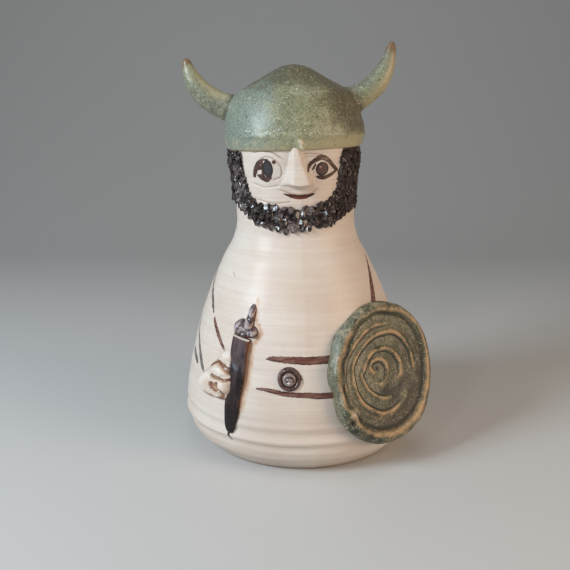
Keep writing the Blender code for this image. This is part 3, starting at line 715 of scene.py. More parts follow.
def shapeHelmet(points):
    azimuth, z, radius = placeOf(points)
    bowl = fade(helmetRadius(z) + 2.5 - radius, 0.0, 2.0)
    bridge = bell(azimuth - 6.0 + 0.50 * (z - 160.0), 2.9) * bell(z - 160.6, 4.4) * (np.abs(azimuth) < 90)
    bridge = bridge * (1.0 + 0.6 * grain(points, 1.8, 3.0))
    outward = np.column_stack([np.sin(np.radians(azimuth)), -np.cos(np.radians(azimuth)), 0 * z])
    rolled = 0.25 * bell(z - 165.0 - 0.03 * points[:, 0], 1.6) - 0.20 * bell(z - 162.6, 1.2)
    swell = 1.3 * bridge + (0.32 * grain(points, 17.0, 2.0) + rolled) * bowl
    shaped = points + outward * swell[:, None]
    above = z - 158.0 - points[:, 0] * math.tan(math.radians(helmetValues["rimTilt"]))
    warmSide = fade(azimuth, -25.0, 35.0)
    rim = 0.40 * fade(above, 7.8, 4.8) + 0.30 * fade(above, 2.4, 0.4)
    thin = bowl * (rim + 0.34 * warmSide * fade(above, 12.0, 3.0))
    thin = np.maximum(thin, 1.6 * bridge) + 0.10 * grain(points, 5.0, 6.0)
    rust = np.zeros(len(z))
    horn = np.zeros(len(z))
    for side, rootHeight, reach, rise, thickness in helmetValues["horns"]:
        t = np.linspace(0.0, 1.0, 60)
        line, _ = hornLine(side, rootHeight, reach, rise, t)
        line[:, 0] += leanAt(line[:, 2])
        gaps = np.linalg.norm(points[:, None, [0, 2]] - line[None, :, [0, 2]], axis=2)
        nearest = np.argmin(gaps, axis=1)
        at, inner = t[nearest], line[nearest]
        onHorn = (np.sign(points[:, 0] - leanAt(z)) == side) * (1.0 - bowl)
        horn = np.maximum(horn, onHorn)
        upper = (side * (inner[:, 0] - points[:, 0]) * 0.7 + (points[:, 2] - inner[:, 2]) * 0.8) / thickness
        rust = np.maximum(rust, onHorn * (0.95 * fade(at, 0.84, 0.97) + 0.25 * fade(at, 0.5, 0.9)))
        tan = 0.75 * fade(upper, -0.2, 0.8) if side < 0 else 0.70 * fade(upper, 0.5, -0.6)
        thin = np.maximum(thin, onHorn * (0.12 + tan * fade(at, 0.05, 0.30)))
    joint = bell(radius - helmetRadius(np.clip(z, 158, 199)) - 1.6, 1.3)
    joint = joint * (np.abs(np.abs(azimuth) - 90) < 50) * (z > 168)
    speckBand = 0.75 * bell(above - 9.3, 2.0) * fade(np.abs(azimuth), 50, 20)
    speckBrow = 0.34 * bell(azimuth - 2.0, 18.0) * bell(above - 24.0, 9.0)
    umber = bowl * np.maximum(0.95 * fade(z, 181, 197), 1.25 * bell(azimuth - 60, 30) * fade(z, 161, 174))
    fields = {
        "thin": thin, "rust": rust,
        # blue-green over the bowl's left side, partly a painted reflection of the cool light; on the horns
        # the glaze's own tint
        "coolTintAndSheen": np.maximum(bowl * (1.05 * fade(azimuth, 5.0, -50.0)), 0.45 * horn),
        "umber": np.maximum(np.maximum(umber, 0.95 * joint), 0.40 * horn),
        "dusted": bowl * (0.15 + speckBand + speckBrow + 0.5 * bridge) + 0.22 * horn,
        # painted shadow under the right horn's root, along with pooled glaze
        "poolAndShade": bell(azimuth - 86, 8) * bell(z - 171.5, 4.0) * (radius > 30) * bowl,
        "bare": 0.62 * bridge * (1.0 + 0.8 * grain(points, 1.1, 7.0)),
    }
    return shaped, fields


def makeHelmet():
    low = helmetValues["stations"][0][0]
    profile = [(0.0, low + 6.0), (28.0, low + 1.6), (helmetValues["rimRadius"] - 0.8, low - 0.1)]
    profile += [(float(helmetRadius(z)), float(z)) for z in np.linspace(low + 0.6, 199.9, 90)]
    profile.append((0.0, 200.0))
    bm = turned(profile, helmetValues["turnSteps"], merge=0.01)
    for vertex in bm.verts:
        share = (200.0 - vertex.co.z) / (200.0 - low)
        vertex.co.z += vertex.co.x * math.tan(math.radians(helmetValues["rimTilt"])) * share
    for horn in helmetValues["horns"]:
        addHorn(bm, *horn)
    bmesh.ops.recalc_face_normals(bm, faces=bm.faces[:])
    mesh = bpy.data.meshes.new("helmetClay")
    bm.to_mesh(mesh)
    bm.free()
    clay = bpy.data.objects.new("helmetClay", mesh)
    bpy.context.scene.collection.objects.link(clay)
    merge = clay.modifiers.new("pressedTogether", "REMESH")
    merge.mode = "VOXEL"
    merge.voxel_size = helmetValues["voxel"]
    graph = bpy.context.evaluated_depsgraph_get()
    bm = bmesh.new()
    bm.from_object(clay, graph)
    bpy.data.objects.remove(clay)
    smoothed(bm, bm.verts[:], 1)
    roots = [Vector((side * (float(helmetRadius(height)) - 1.0), 0.0, height + 0.5))
             for side, height, *_ in helmetValues["horns"]]
    near = [vertex for vertex in bm.verts
            if min((vertex.co - root).length for root in roots) < helmetValues["fillet"]]
    smoothed(bm, near, helmetValues["smoothings"])
    for vertex in bm.verts:
        vertex.co.x += float(leanAt(vertex.co.z))
    finishPiece("helmet", bm, glazeFinish("helmetGlaze", helmetTones, 1.5), shapeHelmet)


# Hair and beard
hairValues = {
    # lower azimuth and height, upper azimuth and height, from the nape round by the left cheek and the chin
    "edges": [
        (-180, 128.0, -180, 161.6), (-120, 129.0, -120, 161.2), (-88, 132.0, -74, 160.4),
        (-72, 132.2, -53.5, 157.0), (-60, 129.6, -53.5, 145.0), (-50, 126.4, -48.5, 136.0),
        (-38, 122.8, -38, 131.4), (-24, 120.4, -25, 130.4), (-7, 118.4, -9, 129.6), (7, 119.8, 6, 129.6),
        (22, 120.8, 20, 130.8), (34, 121.8, 33, 133.2), (46, 124.4, 43, 139.0), (56, 127.2, 44.5, 148.0),
        (68, 129.0, 45, 162.0), (85, 129.2, 75, 162.8), (120, 128.4, 120, 162.4), (180, 128.0, 180, 161.6),
    ],
    "columns": 260,
    "rows": 22,
    "thickness": 0.75,
    "spacing": 2.9,          # from one flake's middle to the next one's
    "reach": 205.0,          # the band's length round the head
}


def hairEdges(s):
    table = np.array(hairValues["edges"], float)
    middles = np.column_stack([(table[:, 0] + table[:, 2]) / 720.0, (table[:, 1] + table[:, 3]) * 0.008])
    run = np.concatenate(([0.0], np.cumsum(np.hypot(*np.diff(middles, axis=0).T))))
    return [np.interp(s * run[-1], run, column) for column in table.T]


def hairPlace(s, t):
    lowAzimuth, lowHeight, highAzimuth, highHeight = hairEdges(s)
    return lowAzimuth + (highAzimuth - lowAzimuth) * t, lowHeight + (highHeight - lowHeight) * t


def hairFinish():
    material, tree, shader = newFinish("darkBrownGlaze", 0.55, 0.25, 0.12)
    patches = mottle(tree, 3.4, 3.0)
    fine = mottle(tree, 0.9, 3.0, shift=3.0)
    tone = blend(tree, ranged(tree, patches, 0.42, 0.66), (0.0085, 0.0044, 0.0038), (0.024, 0.0110, 0.0080))
    tone = overlay(tree, tone, fine, 0.58, 0.74, 0.7, (0.075, 0.030, 0.020))
    lit = calc(tree, "MULTIPLY", field(tree, "sheen"), ranged(tree, patches, 0.46, 0.60, 0.12, 1.0))
    tone = overlay(tree, tone, lit, 0.0, 1.0, 0.9, (0.170, 0.132, 0.126))
    tone = overlay(tree, tone, field(tree, "rust"), 0.0, 1.0, 0.8, (0.022, 0.008, 0.005))
    matte = ranged(tree, field(tree, "rust"), 0.0, 1.0, 0.0, 0.42)
    rough = calc(tree, "ADD", ranged(tree, patches, 0.3, 0.7, 0.13, 0.24), matte)
    normal = bumped(tree, patches, 0.5, 0.8)
    normal = bumped(tree, fine, 0.12, 0.8, normal)
    wire(tree, shader, tone, rough, normal)
    return material


def shapeHair(points):
    # the band's own points still lie in the unit slab; the flakes are already in place
    band = points[:, 2] < 10.0
    s, t = points[:, 0] + 0.5, points[:, 1] + 0.5
    azimuth, z = hairPlace(s[band], t[band])
    edge = np.minimum(np.minimum(t[band], 1.0 - t[band]) * 9.0, 1.0)
    skin = hairValues["thickness"] * np.sqrt(np.clip(edge, 0.0, 1.0)) - 0.35
    skin += 0.30 * np.sin(azimuth * 1.9 + 1.3 * np.sin(z * 1.7)) * np.sin(z * 2.6 + azimuth * 0.4) * edge
    out = rooted(points[band, 2], skin)
    uneven = np.column_stack([grain(points, 1.5, shift) for shift in (1.0, 2.0, 3.0)])
    shaped = points + 0.75 * uneven
    shaped[band] = onWall(azimuth, z, out)
    azimuth, z, radius = placeOf(shaped)
    chin = bell(azimuth - 2.0, 25.0) * fade(z, 134.0, 129.0)
    sheen = chin + 0.8 * bell(azimuth + 54.0, 18.0)
    rust = 1.2 * bell(azimuth - 60.0, 26.0) + 0.6 * fade(np.abs(azimuth), 80.0, 100.0)
    return shaped, {"sheen": np.clip(sheen, 0.0, 1.0), "rust": np.clip(rust, 0.0, 1.0)}


def addFlake(bm, where, size, lean, turn, sides):
    # a chip of clay with that many sides, set against the skin at an azimuth, height and distance out
    angle = math.radians(where[0])
    normal = Vector((math.sin(angle), -math.cos(angle), 0.0))
    up = Vector((0.0, 0.0, 1.0))
    facing = Matrix((up.cross(normal), up, normal)).transposed().to_4x4()
    tilt, roll = (math.radians(value) for value in lean)
    pose = Matrix.Translation(Vector(onWall(*where))) @ facing @ Matrix.Rotation(turn, 4, "Z")
    pose = pose @ Matrix.Rotation(tilt, 4, "X") @ Matrix.Rotation(roll, 4, "Y")
    halfWidth, halfLength, halfThickness = size
    bmesh.ops.create_cone(bm, cap_ends=True, cap_tris=True, segments=sides, radius1=1.0, radius2=0.66,
                          depth=2.0 * halfThickness,
                          matrix=pose @ Matrix.Diagonal((halfWidth, halfLength, 1.0, 1.0)))


def makeHair():
    bm = claySlab(hairValues["columns"], hairValues["rows"])
    draw = np.random.uniform
    step = hairValues["spacing"] / hairValues["reach"]
    for place, along in enumerate(np.arange(0.0, 1.0, step)):
        lowAzimuth, lowHeight, highAzimuth, highHeight = hairEdges(along)
        tall = math.hypot((highAzimuth - lowAzimuth) * math.radians(31.5), highHeight - lowHeight)
        rows = max(3, round(tall / hairValues["spacing"]))
        for row in range(rows + 1):
            s = min(1.0, max(0.0, along + step * (0.5 * (row % 2) + draw(-0.2, 0.2))))
            t = min(0.97, max(0.02, (row + draw(-0.22, 0.22)) / rows))
            azimuth, z = (float(value) for value in hairPlace(s, t))
            if z > 159.3 or (azimuth > 40.0 and z > 157.0):      # the smooth roll under the rim stays bare
                continue
            edge = 0.86 if row in (0, rows) else 1.0
            if abs(azimuth) < 36.0:                              # overlapping scales on the chin
                where = (azimuth, z, 0.80 + draw(0.0, 0.6))
                lean = (draw(-40, -2), draw(-30, 20))
                size = (2.2 * edge, 2.7 * edge, 0.42)
                addFlake(bm, where, size, lean, draw(-1.2, 0.8), int(draw(6, 9)))
            elif -100.0 < azimuth < 0.0:                         # broad chips pressed on the left cheek
                where = (azimuth, z, 0.80 + draw(0.0, 0.5))
                lean = (draw(-30, 4), draw(-40, 30))
                size = (1.7 * edge, 3.1 * edge, 0.45)
                addFlake(bm, where, size, lean, draw(-1.2, 0.6), int(draw(4, 7)))
            elif 0.0 < azimuth < 100.0:                          # narrow strokes on the right cheek
                for _ in range(2):
                    where = (azimuth + draw(-2.4, 2.4), z + draw(-0.9, 0.9), 0.55 + draw(0.0, 0.4))
                    lean = (draw(-16, 10), draw(-25, 25))
                    turn = draw(0.1, 0.9) * (1 if place % 2 else -1)
                    addFlake(bm, where, (0.75, 2.5 * edge, 0.45), lean, turn, int(draw(5, 8)))
            else:                                                # plainer at the back
                where = (azimuth, z, 0.60 + draw(0.0, 0.3))
                lean = (draw(-12, 4), draw(-10, 10))
                addFlake(bm, where, (1.7 * edge, 2.5 * edge, 0.45), lean, draw(-0.4, 0.4), 7)
    finishPiece("hair_and_beard", bm, hairFinish(), shapeHair, crease=30.0)


# Shield
shieldValues = {
    "place": (45.8, 49.6, 4.9),      # azimuth, height and how far the lip's plane stands off the wall
    "turn": 38.8,
    "tilt": 16.6,
    "radius": 35.5,
    "rounding": 4.75,                # from the lip's crest back to the widest edge
    "hollow": 2.3,
    "steps": 320,
    "frontRows": 88,
    "backRows": [(35.0, -6.6), (33.6, -8.6), (31.0, -9.5), (26.0, -10.4), (22.0, -11.9), (16.0, -13.8),
                 (10.6, -15.2)],
    "edge": [                        # angle and radius of the outline
        (-180, 32.5), (-174, 31.8), (-169, 31.5), (-163, 32.6), (-155, 34.1), (-149, 35.0), (-139, 35.4),
        (-126, 35.9), (-101, 36.1), (-91, 35.9), (-69, 36.2), (-50, 36.4), (-32, 35.3), (-15, 34.8),
        (5, 35.3), (24, 36.5), (39, 37.0), (54, 36.9), (69, 36.4), (82, 35.6), (100, 34.2), (116, 33.0),
        (134, 32.8), (149, 32.2), (159, 32.4), (171, 32.5), (180, 32.5),
    ],
    "crest": [                       # angle and radius of the lip's highest line
        (-180, 30.8), (-170, 30.1), (-158, 31.4), (-146, 31.1), (-135, 31.7), (-123, 31.9), (-112, 31.9),
        (-101, 31.4), (-89, 31.0), (-74, 31.1), (-59, 31.4), (-44, 31.2), (-30, 30.8), (-13, 30.9),
        (3, 31.6), (14, 32.4), (28, 33.6), (40, 33.9), (56, 33.1), (70, 31.8), (88, 30.9), (100, 30.2),
        (108, 30.0), (119, 29.2), (134, 28.8), (144, 29.2), (156, 30.2), (167, 30.8), (180, 30.8),
    ],
    "groove": [                      # angle and radius of the lip's inner foot
        (-180, 26.9), (-169, 27.8), (-155, 28.4), (-140, 28.4), (-123, 28.6), (-101, 28.4), (-74, 28.4),
        (-44, 28.2), (-13, 27.8), (14, 29.2), (28, 30.6), (40, 31.2), (56, 30.9), (70, 29.8), (82, 29.5),
        (92, 29.1), (103, 27.9), (114, 27.5), (124, 26.4), (131, 25.6), (141, 25.5), (157, 26.6),
        (169, 26.8), (180, 26.9),
    ],
    "ridges": [                      # finger ridges: across, up and height of each stop
        [(-6.6, -0.4, 0.5), (-7.4, 1.4, 1.0), (-8.2, 4.0, 1.2), (-5.8, 6.3, 1.2), (-2.4, 6.6, 1.2),
         (0.6, 5.4, 1.2), (2.7, 2.2, 1.2), (2.5, -1.0, 1.1), (0.4, -4.2, 1.0), (-3.0, -5.7, 0.8),
         (-6.0, -4.6, 0.4)],
        [(2.6, -13.3, 0.3), (-0.6, -13.5, 0.9), (-4.8, -12.4, 1.2), (-8.8, -10.0, 1.3), (-12.0, -6.8, 1.3),
         (-13.6, -3.2, 1.3), (-15.0, 0.9, 1.3), (-12.7, 3.2, 1.3), (-10.3, 6.7, 1.3), (-7.0, 9.4, 1.3),
         (-2.6, 11.1, 1.3), (2.4, 11.3, 1.3), (7.0, 9.5, 1.3), (10.0, 6.3, 1.3), (11.9, 2.4, 1.3),
         (11.6, -2.2, 1.1), (9.2, -6.0, 0.5)],
        [(14.0, -13.0, 0.2), (10.2, -16.2, 0.8), (5.6, -18.8, 1.1), (0.0, -20.3, 1.3), (-5.4, -20.0, 1.3),
         (-11.0, -17.4, 1.3), (-15.6, -13.8, 1.3), (-18.6, -9.6, 1.3), (-20.3, -4.8, 1.3),
         (-20.5, 0.2, 1.3), (-20.3, 4.6, 1.3), (-18.1, 8.4, 1.3), (-15.0, 11.5, 1.3), (-10.2, 14.9, 1.3),
         (-4.8, 17.6, 1.3), (1.4, 18.9, 1.3), (8.0, 18.9, 1.3), (12.6, 17.4, 1.3), (16.0, 14.6, 1.3),
         (18.8, 10.0, 1.3), (20.6, 5.0, 1.3), (20.8, -0.6, 1.1), (19.9, -5.2, 0.5)],
        [(-25.6, -6.0, 0.4), (-26.4, -0.2, 0.9), (-25.0, 5.6, 1.0), (-22.4, 10.6, 1.1), (-18.0, 14.7, 1.1),
         (-13.0, 18.4, 1.1), (-8.2, 21.4, 1.0), (-3.3, 22.9, 1.0), (2.8, 23.5, 0.9), (8.6, 23.1, 0.7),
         (11.3, 22.0, 0.3)],
        [(-25.2, -7.5, 0.15), (-22.5, -12.5, 0.4), (-18.1, -16.6, 0.4), (-12.0, -20.4, 0.4),
         (-6.1, -22.4, 0.3), (0, -23.2, 0.1)],
        [(20.5, 15.2, 0.1), (23.3, 9.2, 0.35), (25.1, 4.0, 0.3), (25.6, -2.0, 0.1)],
    ],
    "nub": (176, 6.7, 1.3, 1.2),     # angle, distance, size, height
    "lump": (-147.5, 29.6, 3.3, 2.6),
    "notch": (-142, 32.6, 1.6, -2.6),
    "darkSpots": [(-120.0, 34.0, 3.2), (-108.0, 34.5, 2.4), (-135.0, 34.6, 1.8)],
    "bareSpots": [(-169, 32.6, 0.9), (-152, 36.0, 0.7), (-144, 36.0, 0.8), (-141, 35.6, 0.5)],
}


def polar(angle, radius):
    return radius * np.cos(np.radians(angle)), radius * np.sin(np.radians(angle))


def spotAt(x, y, angle, distance, size):
    middleX, middleY = polar(angle, distance)
    return bell(np.hypot(x - middleX, y - middleY), size)


def ridgeField(u, v):
    # the finger ridges' height, how near their crests are, and the dark at their inner foot: pooled glaze and
    # painted shade
    height, crest, poolAndShade = (np.zeros(len(u)) for _ in range(3))
    for ridge in shieldValues["ridges"]:
        stops = smoothRoute(ridge)
        best = np.full(len(u), 99.0)
        tall, inward = np.zeros(len(u)), np.zeros(len(u))
        for (x0, y0, h0), (x1, y1, h1) in zip(stops, stops[1:]):
            dx, dy = x1 - x0, y1 - y0
            t = np.clip(((u - x0) * dx + (v - y0) * dy) / max(dx * dx + dy * dy, 1e-9), 0.0, 1.0)
            x, y = x0 + t * dx, y0 + t * dy
            gap = np.hypot(u - x, v - y)
            closer = gap < best
            best = np.where(closer, gap, best)
            tall = np.where(closer, h0 + (h1 - h0) * t, tall)
            inward = np.where(closer, (x - u) * x + (y - v) * y, inward)
        inside = inward > 0
        outside = 0.55 * bell(best, 1.1) + 0.45 * bell(best, 2.8)
        height = np.maximum(height, tall * np.where(inside, bell(best, 0.95), outside))
        crest = np.maximum(crest, tall * bell(best, np.where(inside, 0.75, 1.10)))
        poolAndShade = np.maximum(poolAndShade, tall * inside * bell(best - 1.55, 0.50))
    return height, crest, poolAndShade


def shapeShield(points):
    u, v, depth = points.T
    angle = np.degrees(np.arctan2(v, u))
    share = np.hypot(u, v) / shieldValues["radius"]
    around = np.column_stack(polar(angle, 1.0) + (0 * u,))
    lumpy = bell(np.abs(angle - 150.0 + 360.0 * (angle < -120)), 52.0)
    edge = smoothCurve(shieldValues["edge"], angle) + 0.35 * grain(around, 0.22, 5.0)
    edge += lumpy * 0.30 * np.sin(np.radians(angle * 11.0))
    front = depth > -0.5
    crest = smoothCurve(shieldValues["crest"], angle) + 0.25 * grain(around, 0.2, 1.0)
    crest += lumpy * 0.40 * np.sin(np.radians(angle * 17.0))
    foot = smoothCurve(shieldValues["groove"], angle) + 0.3 * grain(around, 0.25, 9.0)
    foot += lumpy * 0.25 * np.sin(np.radians(angle * 14.0))
    radius = share * edge
    x, y = polar(angle, radius)
    flat = np.column_stack([x, y, 0 * x])
    floor = -shieldValues["hollow"] + 0.5 * fade(radius, 0.0, 26.0)
    floor += 0.25 * grain(flat, 6.0) + 0.07 * grain(flat, 1.1)
    ridges, ridgeCrest, poolAndShade = ridgeField(x, y)
    beyond = np.clip((radius - crest) / np.maximum(edge - crest, 0.5), 0.0, 1.0)
    lip = -shieldValues["rounding"] * (1.0 - np.sqrt(1.0 - 0.999 * beyond ** 2.2))
    rising = fade(radius, foot, crest - 0.1) ** 0.8
    height = (floor + ridges) * (1.0 - rising) + lip * rising
    height -= 0.5 * bell(radius - foot + 0.2, 0.6)
    dents = 0.45 * np.sin(np.radians(angle * 15.0)) + 0.5 * grain(flat, 2.6, 3.0)
    height += lumpy * bell(radius - 0.5 * (crest + foot), 2.4) * dents
    for at, far, size, tall in (shieldValues["nub"], shieldValues["lump"], shieldValues["notch"]):
        height = height + tall * spotAt(x, y, at, far, size)
    scale = edge / shieldValues["radius"]
    local = np.where(front, [x, y, height], [u * scale, v * scale, depth]).T
    turn, tilt = math.radians(shieldValues["turn"]), math.radians(shieldValues["tilt"])
    normal = Vector((math.sin(turn) * math.cos(tilt), -math.cos(turn) * math.cos(tilt), math.sin(tilt)))
    right = Vector((math.cos(turn), math.sin(turn), 0.0))
    shaped = local @ np.array([right, normal.cross(right), normal]) + onWall(*shieldValues["place"])
    noted = grain(flat, 5.0, 8.0)
    lumpX, lumpY = polar(*shieldValues["lump"][:2])
    broad = bell(angle + 72.0, 62.0)
    lipLine = (0.66 + 0.35 * broad) * bell(radius - crest + 0.1, 1.1 + 1.0 * broad)
    tan = np.maximum(0.62 * ridgeCrest + 0.42 * ridges * fade(noted, -0.2, 0.35), lipLine)
    dentedLip = fade(radius, foot + 0.2, crest - 1.2) * fade(crest + 1.3 - radius, 0.0, 1.2)
    tan = np.maximum(tan, 0.70 * lumpy * dentedLip)
    tan = tan * (0.92 + 0.30 * grain(flat, 2.6, 4.0))
    tan = np.maximum(tan, 0.9 * spotAt(x, y, *shieldValues["nub"][:2], 1.5))
    cream = bell(np.hypot((x - lumpX - y + lumpY) / 2.1, (x - lumpX + y - lumpY) / 1.4), 2.9)
    low = (1.0 - rising) * fade(ridges, 0.45, 0.05)
    # painted shade, with pooled glaze: dark at the lip's inner foot, at the ridges' inner feet and over the
    # low floor near the middle and lower right
    dark = 0.85 * poolAndShade + 0.85 * bell(radius - foot + 0.2, 0.85)
    dark = np.maximum(dark, low * (0.78 * bell(angle + 75.0, 55.0) * bell(radius - 12.0, 7.0)
                             + 0.45 * bell(angle + 5.0, 60) * bell(radius - 23.0, 6.0)))
    dark = np.maximum(dark, 0.8 * bell(np.hypot(x + 3.0, y - 2.0), 1.6))
    for at, far, size in [(*shieldValues["notch"][:2], 1.5)] + shieldValues["darkSpots"]:
        dark = np.maximum(dark, 0.95 * spotAt(x, y, at, far, size))
    bare = np.zeros(len(u))
    for at, far, size in shieldValues["bareSpots"]:
        cx, cy = polar(at, far)
        bare = np.maximum(bare, bell(np.hypot(x - cx, (y - cy) * 0.5) * (1.0 + 0.5 * noted), size))
    matte = low * bell(angle + 74.0, 40.0) * fade(radius, 17.0, 22.0)
    outer = fade(radius, crest, crest + 1.5)
    thinLip = outer * (0.30 * fade(noted, -0.1, 0.4) + 0.32 * bell(angle - 90.0, 50.0))
    burnt = fade(angle + 140.0, 60.0, 110.0) * fade(60.0 - angle, 0.0, 40.0)
    burnt = 1.2 * matte + 0.3 * low * fade(noted, 0.1, 0.5) + 0.45 * low * burnt
    # painted reflection of the cool light on the lip's outer band at the upper left
    skyLit = outer * bell(angle - 150.0 + 360.0 * (angle < -60.0), 55.0)
    fields = {
        "thin": np.where(front, 1.25 * cream + thinLip, 0.3 * (depth > -9.0)),
        "rust": front * (tan + 0.12 * noted),
        "umber": front * burnt,
        "coolTintAndSheen": front * ((0.60 + 0.50 * noted) * skyLit + 0.25 * low),
        "dusted": front * (0.62 + 0.4 * noted) * (1.0 - matte),
        "poolAndShade": front * dark,
        "bare": front * np.maximum(bare, 0.60 * cream * (1.0 + 0.4 * noted)),
    }
    return shaped, fields


def makeShield():
    rows, back = shieldValues["frontRows"], shieldValues["backRows"]
    profile = [(shieldValues["radius"] * row / rows, 0.0) for row in range(rows + 1)]
    profile += back + [(0.0, back[-1][1])]
    bm = turned(profile, shieldValues["steps"], start=(1.0, 0.0))
    finishPiece("shield", bm, glazeFinish("shieldGlaze", shieldTones, 1.1), shapeShield)


# Sword
swordValues = {
    "left": [(19.2, -33.0), (20.4, -34.3), (24.0, -35.5), (30.0, -35.8), (36.8, -35.8), (41.1, -35.3),
             (47.1, -35.1), (53.0, -35.4), (58.4, -35.6), (62.9, -35.6), (68.0, -35.4)],
    "right": [(19.2, -32.0), (22.6, -30.6), (26.9, -29.1), (32.7, -28.1), (37.7, -27.6), (42.7, -26.8),
              (47.8, -26.1), (52.7, -25.9), (57.6, -25.8), (62.4, -25.5), (68.0, -25.0)],
    "topSlant": 1.6,         # the top's left end is that much higher
    "thickness": 2.5,
    "bladeSteps": (34, 120),
    "guardSteps": (64, 52),
    "gripSteps": (30, 44),
    "guardRadius": 51.0,     # the wall's at the guard
    "guardTop": [(-36.2, 73.8), (-34.8, 75.6), (-32.1, 76.4), (-29.2, 75.5), (-26.4, 74.4), (-23.0, 73.4),
                 (-21.2, 71.6)],
    "guardLow": [(-36.2, 68.4), (-34.8, 67.8), (-29.0, 67.5), (-24.2, 67.6), (-21.2, 69.2)],
    "guardLumps": [          # azimuth, height, size and how far it stands out
        (-32.4, 72.8, 4.0, 4.6), (-28.2, 71.9, 2.4, 3.6), (-25.8, 70.2, 1.9, 3.0), (-23.6, 71.0, 2.6, 4.3),
        (-33.6, 69.6, 2.2, 3.2), (-29.6, 69.2, 2.2, 2.6),
    ],
    "grip": {"azimuth": -27.4, "low": 72.6, "height": 11.2, "halfWidth": 2.7, "thickness": 3.6, "lean": 1.1},
}


def swordFinish(name, coat):
    material, tree, shader = newFinish(name, 0.20, coat, 0.12)
    patches = mottle(tree, 7.0, 4.0, (1.3, 1.3, 0.6))
    fine = mottle(tree, 1.2, 4.0, shift=3.0)
    tone = blend(tree, ranged(tree, patches, 0.38, 0.64), (0.0085, 0.0050, 0.0050), (0.030, 0.0165, 0.0165))
    # lilac toward the blade's top, a painted sheen standing in for a reflection; on the hilt it covers
    # everything and is its tone
    upper = calc(tree, "ADD", field(tree, "upper"), ranged(tree, patches, 0.3, 0.7, -0.35, 0.35))
    tone = overlay(tree, tone, upper, 0.2, 1.1, 0.85, (0.105, 0.070, 0.075))
    tone = overlay(tree, tone, fine, 0.52, 0.74, 0.5, (0.060, 0.026, 0.020))
    tone = overlay(tree, tone, field(tree, "blue"), 0.2, 1.0, 0.75, (0.125, 0.150, 0.165))
    rust = calc(tree, "ADD", field(tree, "rust"), ranged(tree, fine, 0.3, 0.7, -0.2, 0.2))
    tone = overlay(tree, tone, rust, 0.2, 0.9, 0.95, (0.125, 0.045, 0.024))
    tone = overlay(tree, tone, field(tree, "wall"), 0.3, 0.8, 0.9, (0.36, 0.185, 0.090))
    # pale lilac; on the guard's lumps and down the grip's middle it is a painted highlight
    pale = calc(tree, "ADD", field(tree, "pale"), ranged(tree, fine, 0.3, 0.7, -0.3, 0.3))
    tone = overlay(tree, tone, pale, 0.30, 0.90, 0.95, (0.400, 0.345, 0.350))
    tone = overlay(tree, tone, field(tree, "bare"), 0.45, 0.7, 1.0, (0.66, 0.56, 0.47))
    rough = ranged(tree, patches, 0.3, 0.7, 0.34, 0.48)
    normal = bumped(tree, patches, 0.55, 0.7)
    normal = bumped(tree, fine, 0.16, 0.8, normal)
    wire(tree, shader, tone, rough, normal)
    return material


def shapeBlade(points):
    s, t = points[:, 0] + 0.5, points[:, 1] + 0.5
    low, high = swordValues["left"][0][0], swordValues["left"][-1][0]
    across = np.clip((s - 0.10) / 0.80, 0.0, 1.0)        # the outer tenths are the side walls
    wall = np.minimum(np.minimum(s, 1.0 - s) / 0.10, 1.0)
    z = low + (high - low) * t
    left, right = smoothCurve(swordValues["left"], z), smoothCurve(swordValues["right"], z)
    azimuth = left + (right - left) * across
    z = z + swordValues["topSlant"] * (0.5 - across) * t ** 6
    top = fade(1.004 - t, 0.0, 0.016)
    point = fade(t, 0.0, 0.04)
    height = swordValues["thickness"] * (0.55 + 0.45 * fade(t, 0.0, 0.7)) * point ** 0.5
    height *= 1.0 - 0.14 * (2 * across - 1) ** 2
    height += 0.35 * grain(np.column_stack([azimuth * 0.6, z, 0 * z]), 7.0)
    skin = -0.4 + (height + 0.4) * np.minimum(wall ** 0.8, top)
    out = rooted(points[:, 2], skin)
    shaped = onWall(azimuth, z, out)
    lower = fade(t, 0.15, 0.45)
    side = fade(s, 0.925, 0.955) * fade(1.0 - s, 0.0, 0.02)
    fields = {
        "rust": 0.45 * fade(s, 0.70, 0.90) * lower * (t < 0.985) + 0.35 * fade(t, 0.80, 0.96),
        # the blade's upper half lighter: painted sheen
        "upper": 0.85 * fade(t, 0.45, 0.90),
        "wall": side * fade(t, 0.25, 0.40) * (t < 0.96),
        "blue": bell(azimuth + 31.4, 2.0) * bell(z - 53.6 + 0.55 * (azimuth + 31.4), 1.7)
                + 0.25 * bell(azimuth + 33.1, 1.6) * bell(z - 58.5, 4.0),
        "pale": 0.22 * bell(azimuth + 32.6, 1.2) * bell(z - 60.0, 9.0),
        "bare": fade(t, 0.981, 0.988) * (wall > 0.9) * (t < 0.998),
    }
    return shaped, fields


